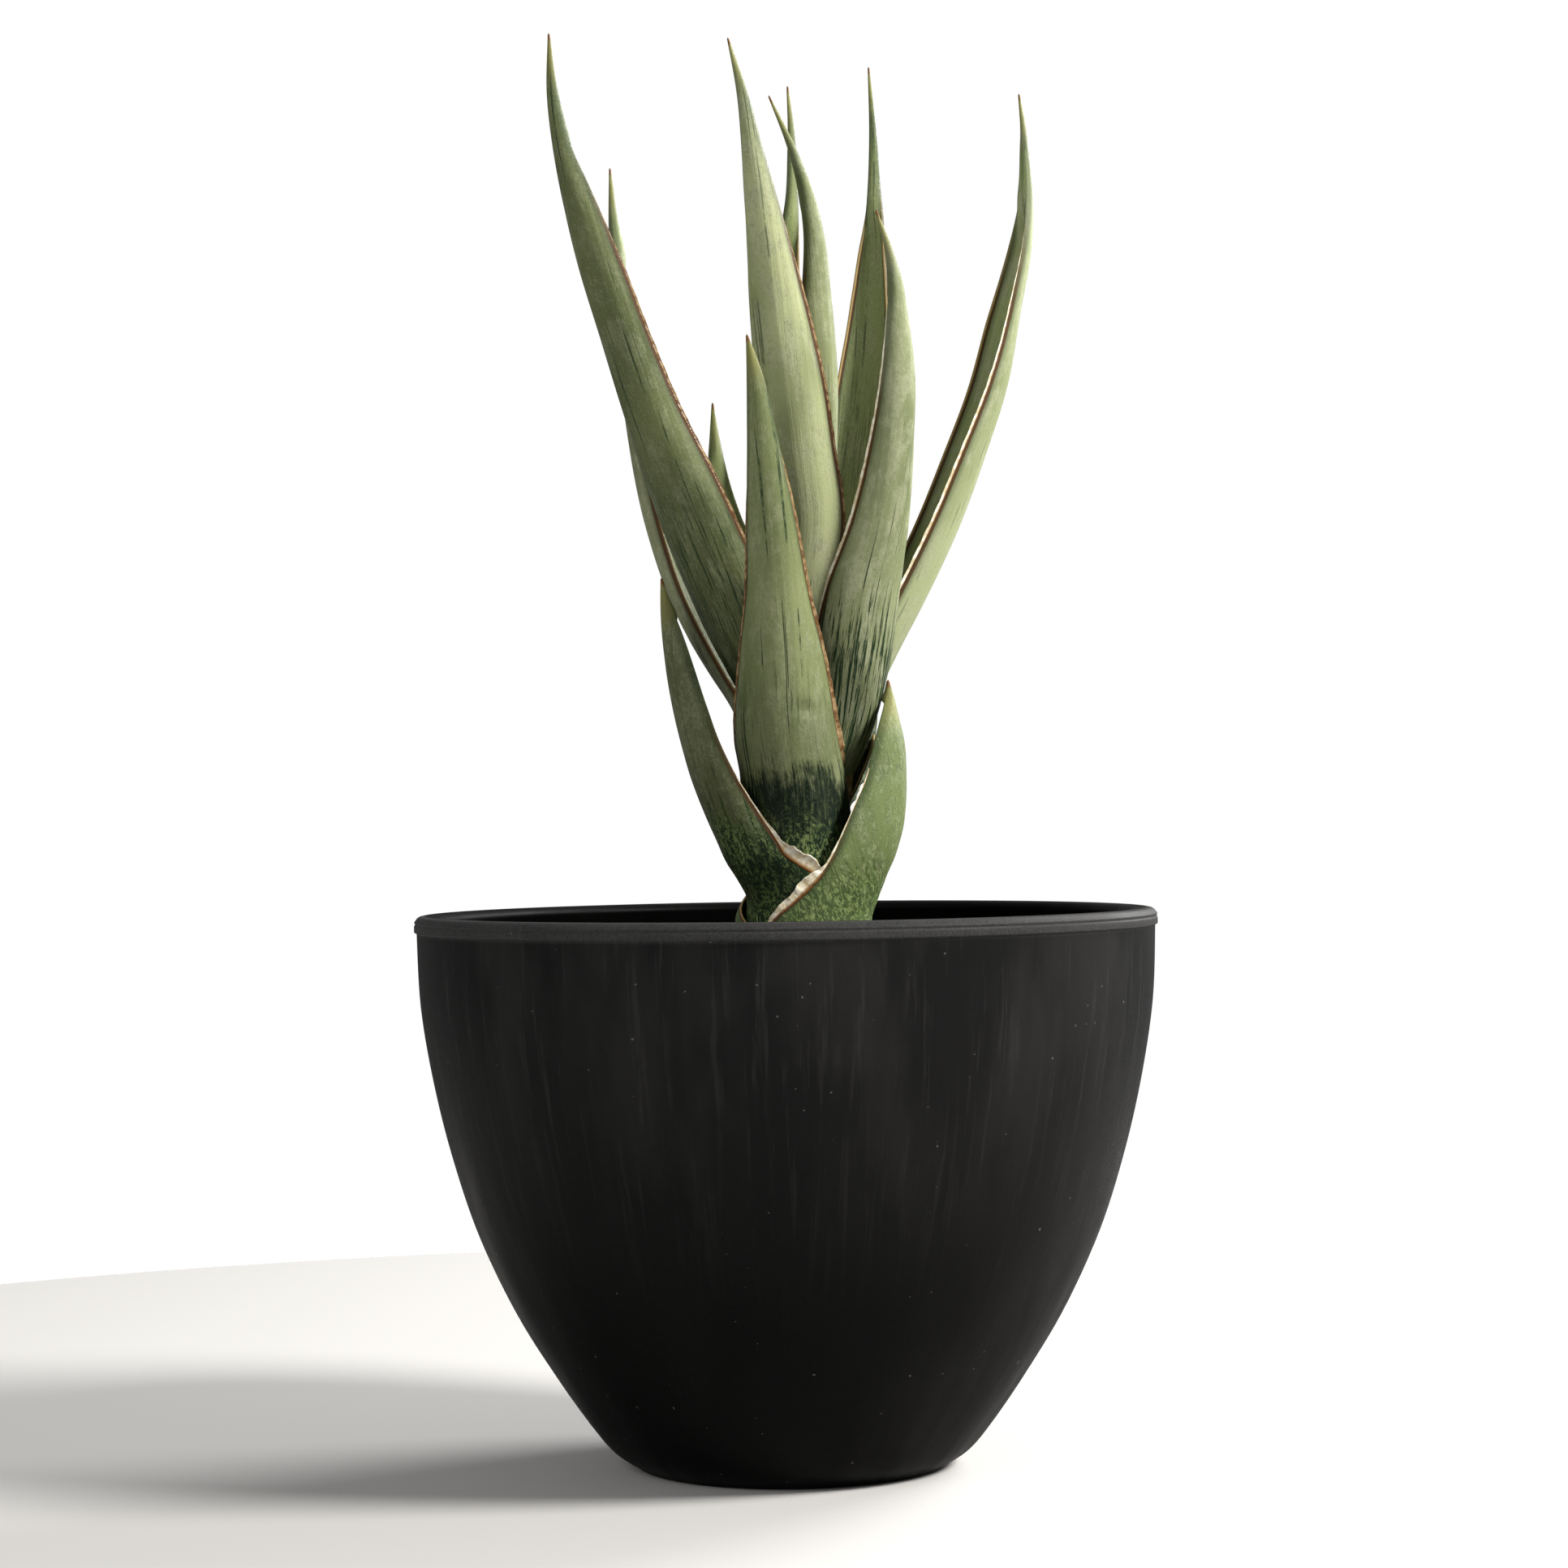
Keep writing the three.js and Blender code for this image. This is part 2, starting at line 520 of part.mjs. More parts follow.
// Routes of the thick roots, spread evenly and sinking as they run out
function rootRoutes() {
  return Array.from({ length: ROOT_COUNT }, (_, i) => {
    const angle = (2 * Math.PI * i) / ROOT_COUNT + ROOT_BEND;
    const reach = ROOT_REACH[0] + ROOT_REACH[1] * Math.sin(2.4 * i);
    const fall = ROOT_FALL[0] + ROOT_FALL[1] * Math.cos(1.7 * i);
    const bend = ROOT_BEND * Math.sin(1.3 * i);
    return [0.15, 0.45, 0.75, 1].map((share) => new THREE.Vector3(
      CROWN.x + reach * share * Math.cos(angle + bend * share),
      CROWN.y + reach * share * Math.sin(angle + bend * share),
      STEM_BOTTOM + ROOT_START - fall * share ** 1.5,
    ));
  });
}

function solidOf(geometry) {
  const bare = geometry.clone();
  bare.deleteAttribute('normal');
  bare.deleteAttribute('uv');
  const merged = mergeVertices(bare, WELD);
  return new wasm.Manifold(new wasm.Mesh({
    numProp: 3,
    vertProperties: new Float32Array(merged.attributes.position.array),
    triVerts: new Uint32Array(merged.index.array),
  }));
}

function geometryOf(solid) {
  const mesh = solid.getMesh();
  return indexedGeometry([...mesh.vertProperties], [...mesh.triVerts]);
}

// Short underground stem that the leaves stand on, with its roots; grow widens it all round
function stemSolid(grow) {
  const taper = STEM_TAPER.map(([share, height], i) => [
    STEM_RADIUS * share + grow, STEM_BOTTOM + height - (i === 0 ? grow : 0),
  ]);
  const stem = turned([
    [0, STEM_BOTTOM - grow], ...taper, [STEM_RADIUS + grow, STEM_TOP + grow], [0, STEM_TOP + grow],
  ], STEM_SEGMENTS);
  stem.translate(CROWN.x, CROWN.y, 0);
  const section = new THREE.Shape(Array.from({ length: ROOT_SIDES }, (_, i) => {
    const angle = (2 * Math.PI * i) / ROOT_SIDES;
    return new THREE.Vector2(Math.cos(angle), Math.sin(angle)).multiplyScalar(ROOT_RADIUS + grow);
  }));
  return rootRoutes().reduce((solid, route) => {
    const [before, end] = route.slice(-2);
    const extra = end.clone().sub(before).setLength(grow);
    const path = new THREE.CatmullRomCurve3([...route.slice(0, -1), end.clone().add(extra)]);
    const along = { steps: ROOT_STEPS, extrudePath: path, curveSegments: 1 };
    return solid.add(solidOf(new THREE.ExtrudeGeometry(section, along)));
  }, solidOf(stem));
}

// The mix with a plain hole for the leaves and room for the stem and roots
function soilWithHole() {
  const hole = turned([
    [0, STEM_TOP], [HOLE_RADIUS, STEM_TOP], [HOLE_RADIUS, POT_HEIGHT], [0, POT_HEIGHT],
  ], HOLE_SEGMENTS);
  hole.translate(CROWN.x, CROWN.y, 0);
  return solidOf(soilGeometry()).subtract(solidOf(hole)).subtract(stemSolid(CLEARANCE));
}

function part(name, geometry, color, roughness) {
  geometry.computeVertexNormals();
  const material = new THREE.MeshStandardMaterial({ color, roughness, metalness: 0, flatShading: true });
  const mesh = new THREE.Mesh(geometry, material);
  mesh.name = name;
  return mesh;
}

const plant = new THREE.Group();
plant.add(part('pot', potGeometry(), 0x1b1a19, 0.5));
plant.add(part('potting_mix', geometryOf(soilWithHole()), 0x33271d, 0.95));
plant.add(part('stem_and_roots', geometryOf(stemSolid(0)), 0xb98a4e, 0.8));
pressLeaves(LEAVES);
LEAVES.forEach((leaf) => plant.add(part(leaf.name, leafGeometry(leaf), leaf.color, 0.55)));

export default plant;
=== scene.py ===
"""Potted snake plant: twelve channelled leaves with spiny tips in a black bowl planter."""

import math

import bmesh
import bpy
import numpy as np
from mathutils import Matrix


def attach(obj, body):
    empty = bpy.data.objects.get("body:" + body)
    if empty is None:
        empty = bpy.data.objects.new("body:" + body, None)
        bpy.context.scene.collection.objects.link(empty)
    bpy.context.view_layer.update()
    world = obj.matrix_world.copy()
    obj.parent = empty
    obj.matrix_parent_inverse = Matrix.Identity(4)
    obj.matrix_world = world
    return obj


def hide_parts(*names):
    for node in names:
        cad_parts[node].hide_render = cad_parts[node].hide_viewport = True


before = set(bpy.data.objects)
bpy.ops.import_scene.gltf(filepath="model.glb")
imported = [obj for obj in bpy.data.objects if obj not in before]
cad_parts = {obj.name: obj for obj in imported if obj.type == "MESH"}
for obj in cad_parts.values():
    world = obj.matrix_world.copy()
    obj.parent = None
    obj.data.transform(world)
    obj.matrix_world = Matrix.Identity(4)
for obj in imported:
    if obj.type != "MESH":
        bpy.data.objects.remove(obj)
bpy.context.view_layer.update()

MM = 0.001
random = np.random.default_rng(7)

# Pot, in millimetres
POT_HEIGHT = 153
RIM_RADIUS = 102.9
RIM_BAND = 4.6
RIM_STEP = 0.7
RIM_GROOVE = 0.35
# Radius and height of the bowl's outer side, foot to rim band
BOWL_SIDE = [
    (44, 0.8), (50, 4.8), (56, 12), (65, 25), (76, 43),
    (86, 64.5), (93, 86), (98, 107), (101.3, 128), (RIM_RADIUS - RIM_STEP, POT_HEIGHT - RIM_BAND),
]
BOWL_STEPS = 7
GROOVE_HALF = 0.5
# Rounded lip: distance in from the rim's outer side, and height
LIP = [(1.2, 152.8), (4.3, 153), (7.2, 152.6), (8.6, 151.2)]
# Heights of the wall's inner corners
INNER_HEIGHTS = [16, 30, 56, 84, 112, 144]
# The wall is this thick at the rim, and thicker by the second value at the foot
WALL = 5
WALL_EXTRA = 1.4
FLOOR_RADIUS = 41
FLOOR_THICKNESS = 6
DRAIN_RADIUS = 9
FOOT_RECESS = 1.6
FOOT_RECESS_RADIUS = 36
FOOT_RING = (37.2, 43)
CORNER_RADIUS = 0.9
POT_SEGMENTS = 192

# Potting mix
SOIL_LEVEL = 138
# Waves that add up to its lumps: height, and radians per mm in x and y
SOIL_WAVES = [(0.6, 0.21, 0.09), (0.55, -0.12, 0.27), (0.45, 0.47, -0.31), (0.3, 0.11, 0.62)]
# Slight rise towards the plant, and how far out it reaches
SOIL_RISE = 1.5
SOIL_RISE_REACH = 37
CROWN = (5, 0)

# Crumbs on the mix
CHIP_COUNT = 3400
PERLITE_COUNT = 260
CRUMB_REACH = 96.3
CROWN_CLEARING = 21
# A high power makes most of the crumbs small
CRUMB_POWER = 2.2
CRUMB_WIDTH = (0.45, 0.9)
CRUMB_TURN = (0, 6.28)
CRUMB_TILT = 0.35
CRUMB_LIFT = (-0.1, 0.3)

# Leaves
LEAF_BASE = 122
LEAF_GAP = 0.45
MARGIN_THICKNESS = 0.7
# Height and midrib thickness, from the thin sheath up to the stiff blade
MIDRIB = [(122, 1.2), (150, 1.5), (180, 1.9), (210, 2.8), (240, 3.4)]
MIDRIB_SHARE = 0.36
MIDRIB_LEAST = 1.1
CHANNEL_LEAST = 0.25
MOUTH_LENGTH = 16
SPINE_FRONT = 0.85
TIP_RADIUS = 0.25
TIP_CONE = 2
LEVELS = [
    122, 136, 148, 151, 154, 157, 160, 163, 166, 170, 175, 181, 187, 194, 202, 210, 218, 226,
    234, 243, 258, 278, 298, 318, 338, 358, 378,
]
FINE_SAMPLES = 49
FINE_STEP = 1.3
FINE_TIP_GAP = 0.5
EDGE_POINTS = 3
FURROW_DEPTH = 0.07
SWELLING_DEPTH = 0.1

# Each station is a height, the middle of the leaf's arc there in x and y, its radius, the way
# its back faces and how far it wraps to each side, in degrees. The outermost leaf comes first.
# A dent is its place along the arc and its height, its reach along both, and its depth.
LEAVES = [
    {
        "name": "leaf_low_right", "samples": 17, "mouth": 212, "mouth_length": 4,
        "tip": (29.3, 0, 216.8),
        "stations": [
            (122, 5, 0, 17.8, 50, 170), (150, 4.9, 0, 19.2, 47, 165), (156, 6.9, 0.3, 19.1, 36, 139),
            (162, 9.6, 0.4, 18.7, 24, 116), (168, 13.3, 0, 17.6, 12, 103),
            (176, 17.1, 0, 16.1, 1, 92), (183, 19.9, 0, 14.1, -3, 87), (190, 22.6, 0, 11.6, -4, 84),
            (200, 25.4, 0, 8.3, -5, 84), (207, 27.5, 0, 4.6, -5, 84), (212, 29.2, 0, 1.7, -5, 92),
        ],
    },
    {
        "name": "leaf_low_left", "samples": 15, "mouth": 238, "mouth_length": 10,
        "tip": (-33.1, -8, 245.5),
        "stations": [
            (122, 5, 0, 17, -165, 150), (150, 4.9, -0.3, 18.2, -165, 148),
            (160, 3.1, -1, 17.7, -165, 112), (170, -1.3, -1, 16.8, -165, 77),
            (180, -7.5, -1.5, 14.8, -165, 77), (190, -13.7, -2.5, 12.2, -165, 78),
            (200, -18.4, -3.5, 10.2, -165, 78), (210, -21.8, -4.5, 9, -165, 78),
            (220, -25.1, -5.5, 7.3, -165, 80), (230, -28.6, -6.5, 4.7, -165, 85),
            (238, -31.8, -7.5, 1.7, -165, 90),
        ],
    },
    {
        "name": "leaf_front", "samples": 9, "mouth": 298, "tip": (-8.4, -42, 308.2),
        "dents": [(7.0, 208.5, 3.2, 1.5, 0.9)],
        "stations": [
            (122, 5, 0, 15.9, -92, 125), (150, 4.9, 0, 17, -92, 122), (170, 3.8, -0.5, 16, -92, 112),
            (190, 2.4, -2.5, 14.8, -92, 97), (200, 0.9, -4.5, 14.4, -92, 90),
            (220, 0, -10, 12.3, -92, 84), (240, -1.1, -18, 8.9, -92, 80),
            (260, -2.7, -26, 6.8, -92, 80), (280, -4.5, -33, 4.4, -92, 82),
            (300, -6.8, -40, 1.8, -92, 88),
        ],
    },
    {
        "name": "leaf_back_short", "samples": 11, "mouth": 288, "tip": (-19.3, 45, 299.3),
        "stations": [
            (122, 5, 0, 14.7, 110, 115), (150, 4.9, 0.2, 15.8, 108, 115),
            (175, 5.8, 3.5, 15.7, 102, 108), (188, 7.1, 6.2, 17.4, 97, 102),
            (199, 7.4, 8.6, 18.9, 94, 98), (206, 7, 11, 18.8, 97, 90),
            (212, 5.4, 13.6, 18.2, 100, 82), (222, -1, 19.5, 14, 107, 80),
            (235, -8, 26, 10.4, 110, 84), (250, -12, 32, 8.4, 110, 84),
            (270, -16.9, 39, 4.6, 110, 85), (290, -18.9, 43.5, 1.3, 110, 90),
        ],
    },
    {
        "name": "leaf_back_left", "samples": 9, "mouth": 342, "tip": (-47.2, 22, 363.9),
        "stations": [
            (122, 5, 0, 13.5, 160, 108), (150, 4.8, 0, 14.6, 160, 108),
            (180, 2.8, 0.5, 14.4, 160, 98), (200, -1.3, 2, 13.6, 160, 84),
            (210, -4.6, 3, 12.6, 160, 76), (220, -10.4, 4.5, 11.6, 160, 74),
            (240, -21, 8, 10.5, 160, 74), (260, -28.3, 11, 9.6, 160, 76),
            (290, -35.4, 15, 8, 160, 80), (320, -41.2, 18.5, 5, 160, 84),
            (345, -46, 21, 1.7, 160, 90),
        ],
    },
    {
        "name": "leaf_front_right", "samples": 13, "mouth": 324, "tip": (26.9, -27, 343.4),
        "stations": [
            (122, 5, 0, 12.3, -50, 105), (150, 5, 0.3, 13.2, -50, 105),
            (180, 7.2, 3.1, 11.8, -50, 77), (200, 12.8, 5.2, 12.9, -54, 66),
            (220, 16.6, 2.4, 13.4, -63, 69), (240, 20.6, -4, 12.2, -64, 72),
            (260, 26.2, -11, 9.3, -60, 78), (280, 29.8, -17, 7.1, -56, 82),
            (300, 32, -21.5, 5.3, -50, 86), (320, 32.1, -25, 2.6, -50, 92),
            (332, 30.4, -26.3, 1.2, -50, 95),
        ],
    },
    {
        "name": "leaf_right", "samples": 13, "mouth": 356, "tip": (69.2, 21, 383.3),
        "stations": [
            (122, 5, 0, 11.1, 15, 105), (150, 5, 0.5, 11.9, 15, 105), (180, 7.2, 4, 11.4, 15, 98),
            (200, 11, 6.8, 11.6, 14, 94), (220, 19, 9, 11.8, 13, 92), (240, 30.3, 11, 10.8, 13, 92),
            (260, 40.6, 13, 10, 14, 94), (280, 49, 15, 9.2, 16, 93), (300, 56.8, 17, 8, 20, 92),
            (320, 62.4, 18.3, 6.3, 26, 90), (340, 67.9, 19.6, 4.4, 25, 92),
            (352, 70.3, 20.2, 2.5, 25, 96), (370, 70.4, 20.7, 1.05, 25, 96),
        ],
    },
    {
        "name": "leaf_front_left", "samples": 9, "mouth": 366, "tip": (-60.8, -33, 391.2),
        "stations": [
            (122, 5, 0, 9.9, -125, 105), (150, 4.7, -0.5, 10.7, -130, 100),
            (180, 3, -0.8, 10.8, -140, 88), (200, 1, 0.2, 11, -142, 78),
            (215, -2.8, 0.8, 11.8, -135, 80), (230, -8.4, -1.6, 12.7, -128, 84),
            (250, -17.2, -8, 12.3, -125, 85), (270, -25.3, -13.5, 11.4, -126, 85),
            (290, -33.5, -18, 9.3, -128, 85), (310, -40.6, -22, 8, -130, 85),
            (330, -47.2, -25.5, 7.2, -132, 85), (350, -53.8, -28.5, 4.9, -135, 88),
            (360, -57.2, -30, 3, -135, 92), (375, -60, -31.7, 1.6, -135, 95),
        ],
    },
    {
        "name": "leaf_front_centre", "samples": 9, "mouth": 366, "tip": (-12.6, -31, 389.8),
        "stations": [
            (122, 5, 0, 8.7, -110, 105), (150, 4.6, -0.6, 9.2, -110, 96),
            (180, 3.4, 0.6, 8.6, -112, 84), (200, 3, 1.8, 8.8, -112, 78),
            (220, 4, 1.6, 10, -110, 80), (240, 5.6, -3.4, 11.4, -110, 80),
            (260, 7.8, -8.6, 11.8, -110, 78), (280, 5.6, -13, 11, -110, 80),
            (300, 3.2, -17, 10.1, -110, 80), (320, 0.3, -21, 8.2, -110, 80),
            (340, -2.8, -25, 5.7, -110, 82), (352, -4.9, -27, 4.1, -110, 88),
            (360, -6.3, -28.2, 3, -110, 92), (375, -8.9, -30, 1.5, -110, 95),
        ],
    },
    {
        "name": "leaf_back_right", "samples": 9, "mouth": 358, "tip": (27.1, 40, 395.2),
        "stations": [
            (122, 5, 0, 7.4, 65, 105), (150, 5.5, 1.2, 7.9, 65, 100), (180, 7, 4.2, 8.2, 65, 95),
            (200, 8.5, 6.6, 8.6, 65, 90), (220, 11.5, 9.2, 9.3, 65, 88), (250, 15.7, 14, 9.9, 65, 85),
            (280, 20, 20.5, 9, 65, 85), (300, 23, 25, 8.2, 65, 85), (320, 25.4, 29.5, 6.5, 65, 85),
            (340, 27, 33.5, 4.3, 65, 88), (356, 28.2, 36.5, 2.2, 65, 92),
            (375, 28.1, 38.8, 1.1, 65, 95),
        ],
    },
    {
        "name": "leaf_inner_right", "samples": 7, "mouth": 350, "tip": (-1.8, -12, 377.6),
        "stations": [
            (122, 5, 0, 6, -40, 100), (150, 5.3, -0.6, 6.2, -40, 95), (180, 6, 0.8, 6, -40, 88),
            (200, 6.8, 2.4, 6.2, -40, 84), (220, 7.3, 2.6, 7.4, -40, 84),
            (250, 7.4, -0.6, 8.6, -40, 85), (280, 8, -4, 8.1, -40, 85), (300, 9.3, -6, 7.2, -40, 85),
            (320, 9.8, -8, 5.4, -42, 85), (340, 9.7, -9.7, 3.3, -45, 90),
            (350, 8.3, -10.4, 2.2, -45, 95), (362, 4.8, -11.2, 1.3, -45, 95),
        ],
    },
    {
        "name": "leaf_inner_back", "samples": 7, "mouth": 354, "tip": (3.6, 38, 389.6),
        "stations": [
            (122, 5, 0.6, 4.8, 110, 90), (150, 4.6, 1.8, 4.9, 110, 88), (180, 4.4, 4, 5, 105, 86),
            (200, 4, 6, 5.4, 100, 86), (220, 3.6, 8, 6.4, 100, 86), (250, 3, 13, 7.3, 100, 86),
            (280, 1.5, 19.5, 7, 100, 85), (300, 1, 24, 6.5, 100, 85), (320, 1.3, 28.3, 5.5, 100, 85),
            (340, 2.9, 32, 3.6, 100, 88), (356, 4.4, 34.8, 1.9, 100, 92),
            (372, 4.6, 36.8, 1.2, 100, 95),
        ],
    },
]


# Curves and meshes

def smoothstep(value):
    value = np.clip(value, 0, 1)
    return value * value * (3 - 2 * value)


def smooth_curve(xs, ys, at):
    """Values at some places of a smooth curve through points, which never swings past them."""
    xs = np.asarray(xs, float)
    ys = np.asarray(ys, float)
    length = np.diff(xs)[:, None]
    steps = np.diff(ys, axis=0) / length
    middle = (steps[:-1] * length[1:] + steps[1:] * length[:-1]) / (length[:-1] + length[1:])
    middle[steps[:-1] * steps[1:] <= 0] = 0
    slopes = np.vstack([steps[:1], middle, steps[-1:]])
    i = np.clip(np.searchsorted(xs, at, side="right") - 1, 0, len(xs) - 2)
    span = (xs[i + 1] - xs[i])[:, None]
    t = np.clip((at - xs[i])[:, None] / span, 0, 1)
    return (
        (2 * t**3 - 3 * t**2 + 1) * ys[i] + (t**3 - 2 * t**2 + t) * span * slopes[i]
        + (3 * t**2 - 2 * t**3) * ys[i + 1] + (t**3 - t**2) * span * slopes[i + 1]
    )


def mesh_object(name, points, faces, attributes=(), smooth=True):
    """A mesh object from points in millimetres, with named numbers on its points."""
    mesh = bpy.data.meshes.new(name)
    mesh.from_pydata((np.asarray(points) * MM).tolist(), [], faces)
    for key, values in dict(attributes).items():
        layer = mesh.attributes.new(key, "FLOAT", "POINT")
        layer.data.foreach_set("value", np.asarray(values, dtype=np.float32).ravel())
    mesh.polygons.foreach_set("use_smooth", [smooth] * len(mesh.polygons))
    mesh.validate()
    mesh.update()
    obj = bpy.data.objects.new(name, mesh)
    bpy.context.collection.objects.link(obj)
    return obj


def add_piece(obj, material, nodes=()):
    obj.data.materials.clear()
    obj.data.materials.append(material)
    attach(obj, "root")
    if nodes:
        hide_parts(*nodes)


# Leaf shapes

def leaf_at(leaf, heights):
    """Columns of the middle's x and y, the radius, facing and wrap at some heights."""
    values = smooth_curve(leaf["curve"][:, 0], leaf["curve"][:, 1:], np.asarray(heights, float))
    return [values[:, k:k + 1] for k in range(5)]


def leaf_rings(leaf, heights, across, press):
    """Outer and inner points of level cuts, one row a height."""
    heights = np.asarray(heights, float)[:, None]
    x, y, radius, facing, wrap = leaf_at(leaf, heights[:, 0])
    rib = np.interp(heights, *zip(*MIDRIB))
    middle = np.clip(MIDRIB_SHARE * radius, MIDRIB_LEAST, rib)
    thickness = MARGIN_THICKNESS + (middle - MARGIN_THICKNESS) * (1 - across**2)
    opened = smoothstep((leaf["mouth"] - heights) / leaf.get("mouth_length", MOUTH_LENGTH))
    out = radius - press
    depth = np.maximum(out - thickness, CHANNEL_LEAST * out)
    ray = np.radians(facing + across * wrap)
    front = np.radians(facing + 180 - SPINE_FRONT * across * (180 - wrap))
    outer = np.stack([x + out * np.cos(ray), y + out * np.sin(ray)], axis=-1)
    inner = np.stack([
        x + (1 - opened) * radius * np.cos(front) + opened * depth * np.cos(ray),
        y + (1 - opened) * radius * np.sin(front) + opened * depth * np.sin(ray),
    ], axis=-1)
    return outer, inner


def held_inside(centre, angles, radius, beside, outlines):
    """Radius of each ray, kept inside the closed outlines around it."""
    rays = np.stack([np.cos(angles), np.sin(angles)], axis=-1)[:, None, :]
    result = np.full(len(angles), radius)
    for outline in outlines:
        start = outline[None] - centre
        along = np.roll(outline, -1, axis=0)[None] - outline[None]
        cross = rays[..., 0] * along[..., 1] - rays[..., 1] * along[..., 0]
        aimed = np.abs(cross) > 1e-9
        cross = np.where(aimed, cross, 1)
        distance = (start[..., 0] * along[..., 1] - start[..., 1] * along[..., 0]) / cross
        share = (start[..., 0] * rays[..., 1] - start[..., 1] * rays[..., 0]) / cross
        hit = aimed & (distance > 0) & (share >= 0) & (share <= 1)
        result = np.minimum(result, np.where(hit, distance, np.inf).min(axis=1) - LEAF_GAP)
        corner = np.linalg.norm(start, axis=-1)
        towards = (start * rays).sum(axis=-1) / corner
        near = np.where(towards > beside, corner, np.inf)
        result = np.minimum(result, near.min(axis=1) - LEAF_GAP)
    return result


def eased_up(grid):
    """The most of each value and its neighbours, then their mean."""
    for gather in (np.max, np.mean):
        wide = np.pad(grid, 1, mode="edge")
        rows, columns = grid.shape
        around = [wide[a:a + rows, b:b + columns] for a in range(3) for b in range(3)]
        grid = gather(around, axis=0)
    return grid


def press_leaves():
    """How far each leaf is pressed in at each level, from the outermost inwards."""
    outlines = [[] for _ in LEVELS]
    for leaf in LEAVES:
        x, y, top = leaf["tip"]
        facing, wrap = leaf["stations"][-1][4:]
        leaf["curve"] = np.array([*leaf["stations"], (top, x, y, TIP_RADIUS, facing, wrap)], float)
        leaf["levels"] = [z for z in LEVELS if z < top - TIP_CONE]
        leaf["across"] = np.linspace(-1, 1, leaf["samples"])
        columns = np.hstack(leaf_at(leaf, leaf["levels"]))
        grid = []
        for (px, py, radius, facing, wrap), around in zip(columns, outlines):
            angles = np.radians(facing + leaf["across"] * wrap)
            beside = math.cos(math.radians(2 * wrap / (leaf["samples"] - 1)))
            grid.append(radius - held_inside((px, py), angles, radius, beside, around))
        leaf["press"] = eased_up(np.array(grid))
        outer, inner = leaf_rings(leaf, leaf["levels"], leaf["across"], leaf["press"])
        for i in range(len(leaf["levels"])):
            outlines[i].append(np.vstack([outer[i], inner[i][::-1]]))


def fine_press(leaf, heights, across):
    sideways = smooth_curve(leaf["across"], leaf["press"].T, across).T
    return smooth_curve(leaf["levels"], sideways, heights)


def round_edge(start, end, outwards):
    """Points of a half round from one side of a margin to the other."""
    middle = (start + end) / 2
    arm = start - middle
    reach = np.linalg.norm(arm, axis=-1, keepdims=True)
    angles = np.linspace(0, math.pi, EDGE_POINTS + 2)[1:-1]
    return np.stack([
        middle + arm * math.cos(a) + outwards * reach * math.sin(a) for a in angles
    ], axis=1)


def leaf_mesh(leaf):
    top = leaf["tip"][2]
    highest = top - FINE_TIP_GAP
    count = int((highest - LEAF_BASE) / FINE_STEP)
    heights = np.linspace(LEAF_BASE, highest, count)
    across = np.linspace(-1, 1, FINE_SAMPLES)
    press = fine_press(leaf, heights, across)
    radius, facing, wrap = leaf_at(leaf, heights)[2:]
    arc = np.radians(across * wrap) * radius
    press = press + leaf_relief(leaf, heights[:, None], arc, radius)
    outer, inner = leaf_rings(leaf, heights, across, press)
    ends = []
    for side in (1, -1):
        ray = np.radians(facing + side * wrap)
        ends.append(side * np.hstack([-np.sin(ray), np.cos(ray)]))
    right = round_edge(outer[:, -1], inner[:, -1], ends[0])
    left = round_edge(inner[:, 0], outer[:, 0], ends[1])
    ring = np.concatenate([outer, right, inner[:, ::-1], left], axis=1)
    width = ring.shape[1]
    points = np.dstack([ring, np.broadcast_to(heights[:, None, None], ring.shape[:2] + (1,))])
    zero = np.zeros((count, EDGE_POINTS))
    edge = (1 - np.abs(across)) * np.radians(wrap) * radius
    faces_in = np.hstack([np.zeros_like(arc), zero + 0.5, np.ones_like(arc), zero + 0.5])
    marks = {
        "arc": np.hstack([arc, zero + arc[:, -1:], arc[:, ::-1], zero + arc[:, :1]]),
        "edge": np.hstack([edge, zero, edge[:, ::-1], zero]),
        "inner": faces_in,
        "high": np.broadcast_to(heights[:, None], ring.shape[:2]),
        "to_tip": top - np.broadcast_to(heights[:, None], ring.shape[:2]),
    }
    tip_values = {"arc": 0, "edge": 0, "inner": 0, "high": top, "to_tip": 0}
    marks = {key: np.append(values.ravel(), tip_values[key]) for key, values in marks.items()}
    points = np.vstack([points.reshape(-1, 3), leaf["tip"]])
    faces = []
    for i in range(count - 1):
        low = i * width
        for j in range(width):
            k = (j + 1) % width
            faces.append((low + j, low + k, low + width + k, low + width + j))
    last = (count - 1) * width
    faces += [(last + j, last + (j + 1) % width, len(points) - 1) for j in range(width)]
    back = 2 * FINE_SAMPLES + EDGE_POINTS - 1
    for j in range(FINE_SAMPLES - 1):
        faces.append((j + 1, j, back - j, back - j - 1))
    faces.append(tuple(range(back - FINE_SAMPLES + 1, FINE_SAMPLES - 2, -1)))
    faces.append((0, *range(width - 1, back - 1, -1)))
    return mesh_object(leaf["name"] + "_blade", points, faces, marks)


def leaf_relief(leaf, heights, arc, radius):
    """Slight lengthwise furrows and swellings of the back, in millimetres pressed in."""
    seed = LEAVES.index(leaf) * 1.7
    fade = smoothstep((radius - 2) / 6)
    furrows = np.sin(1.9 * arc + seed + 0.012 * heights) * np.sin(0.83 * arc + 2.1 * seed)
    swelling = np.sin(0.045 * heights + 0.21 * arc + seed) * np.sin(0.021 * heights - seed)
    relief = fade * (FURROW_DEPTH * (1 + furrows) + SWELLING_DEPTH * (1 + swelling))
    for x, z, width, tall, depth in leaf.get("dents", ()):
        relief = relief + depth * np.exp(-((arc - x) / width) ** 2 - ((heights - z) / tall) ** 2)
    return relief


# Materials

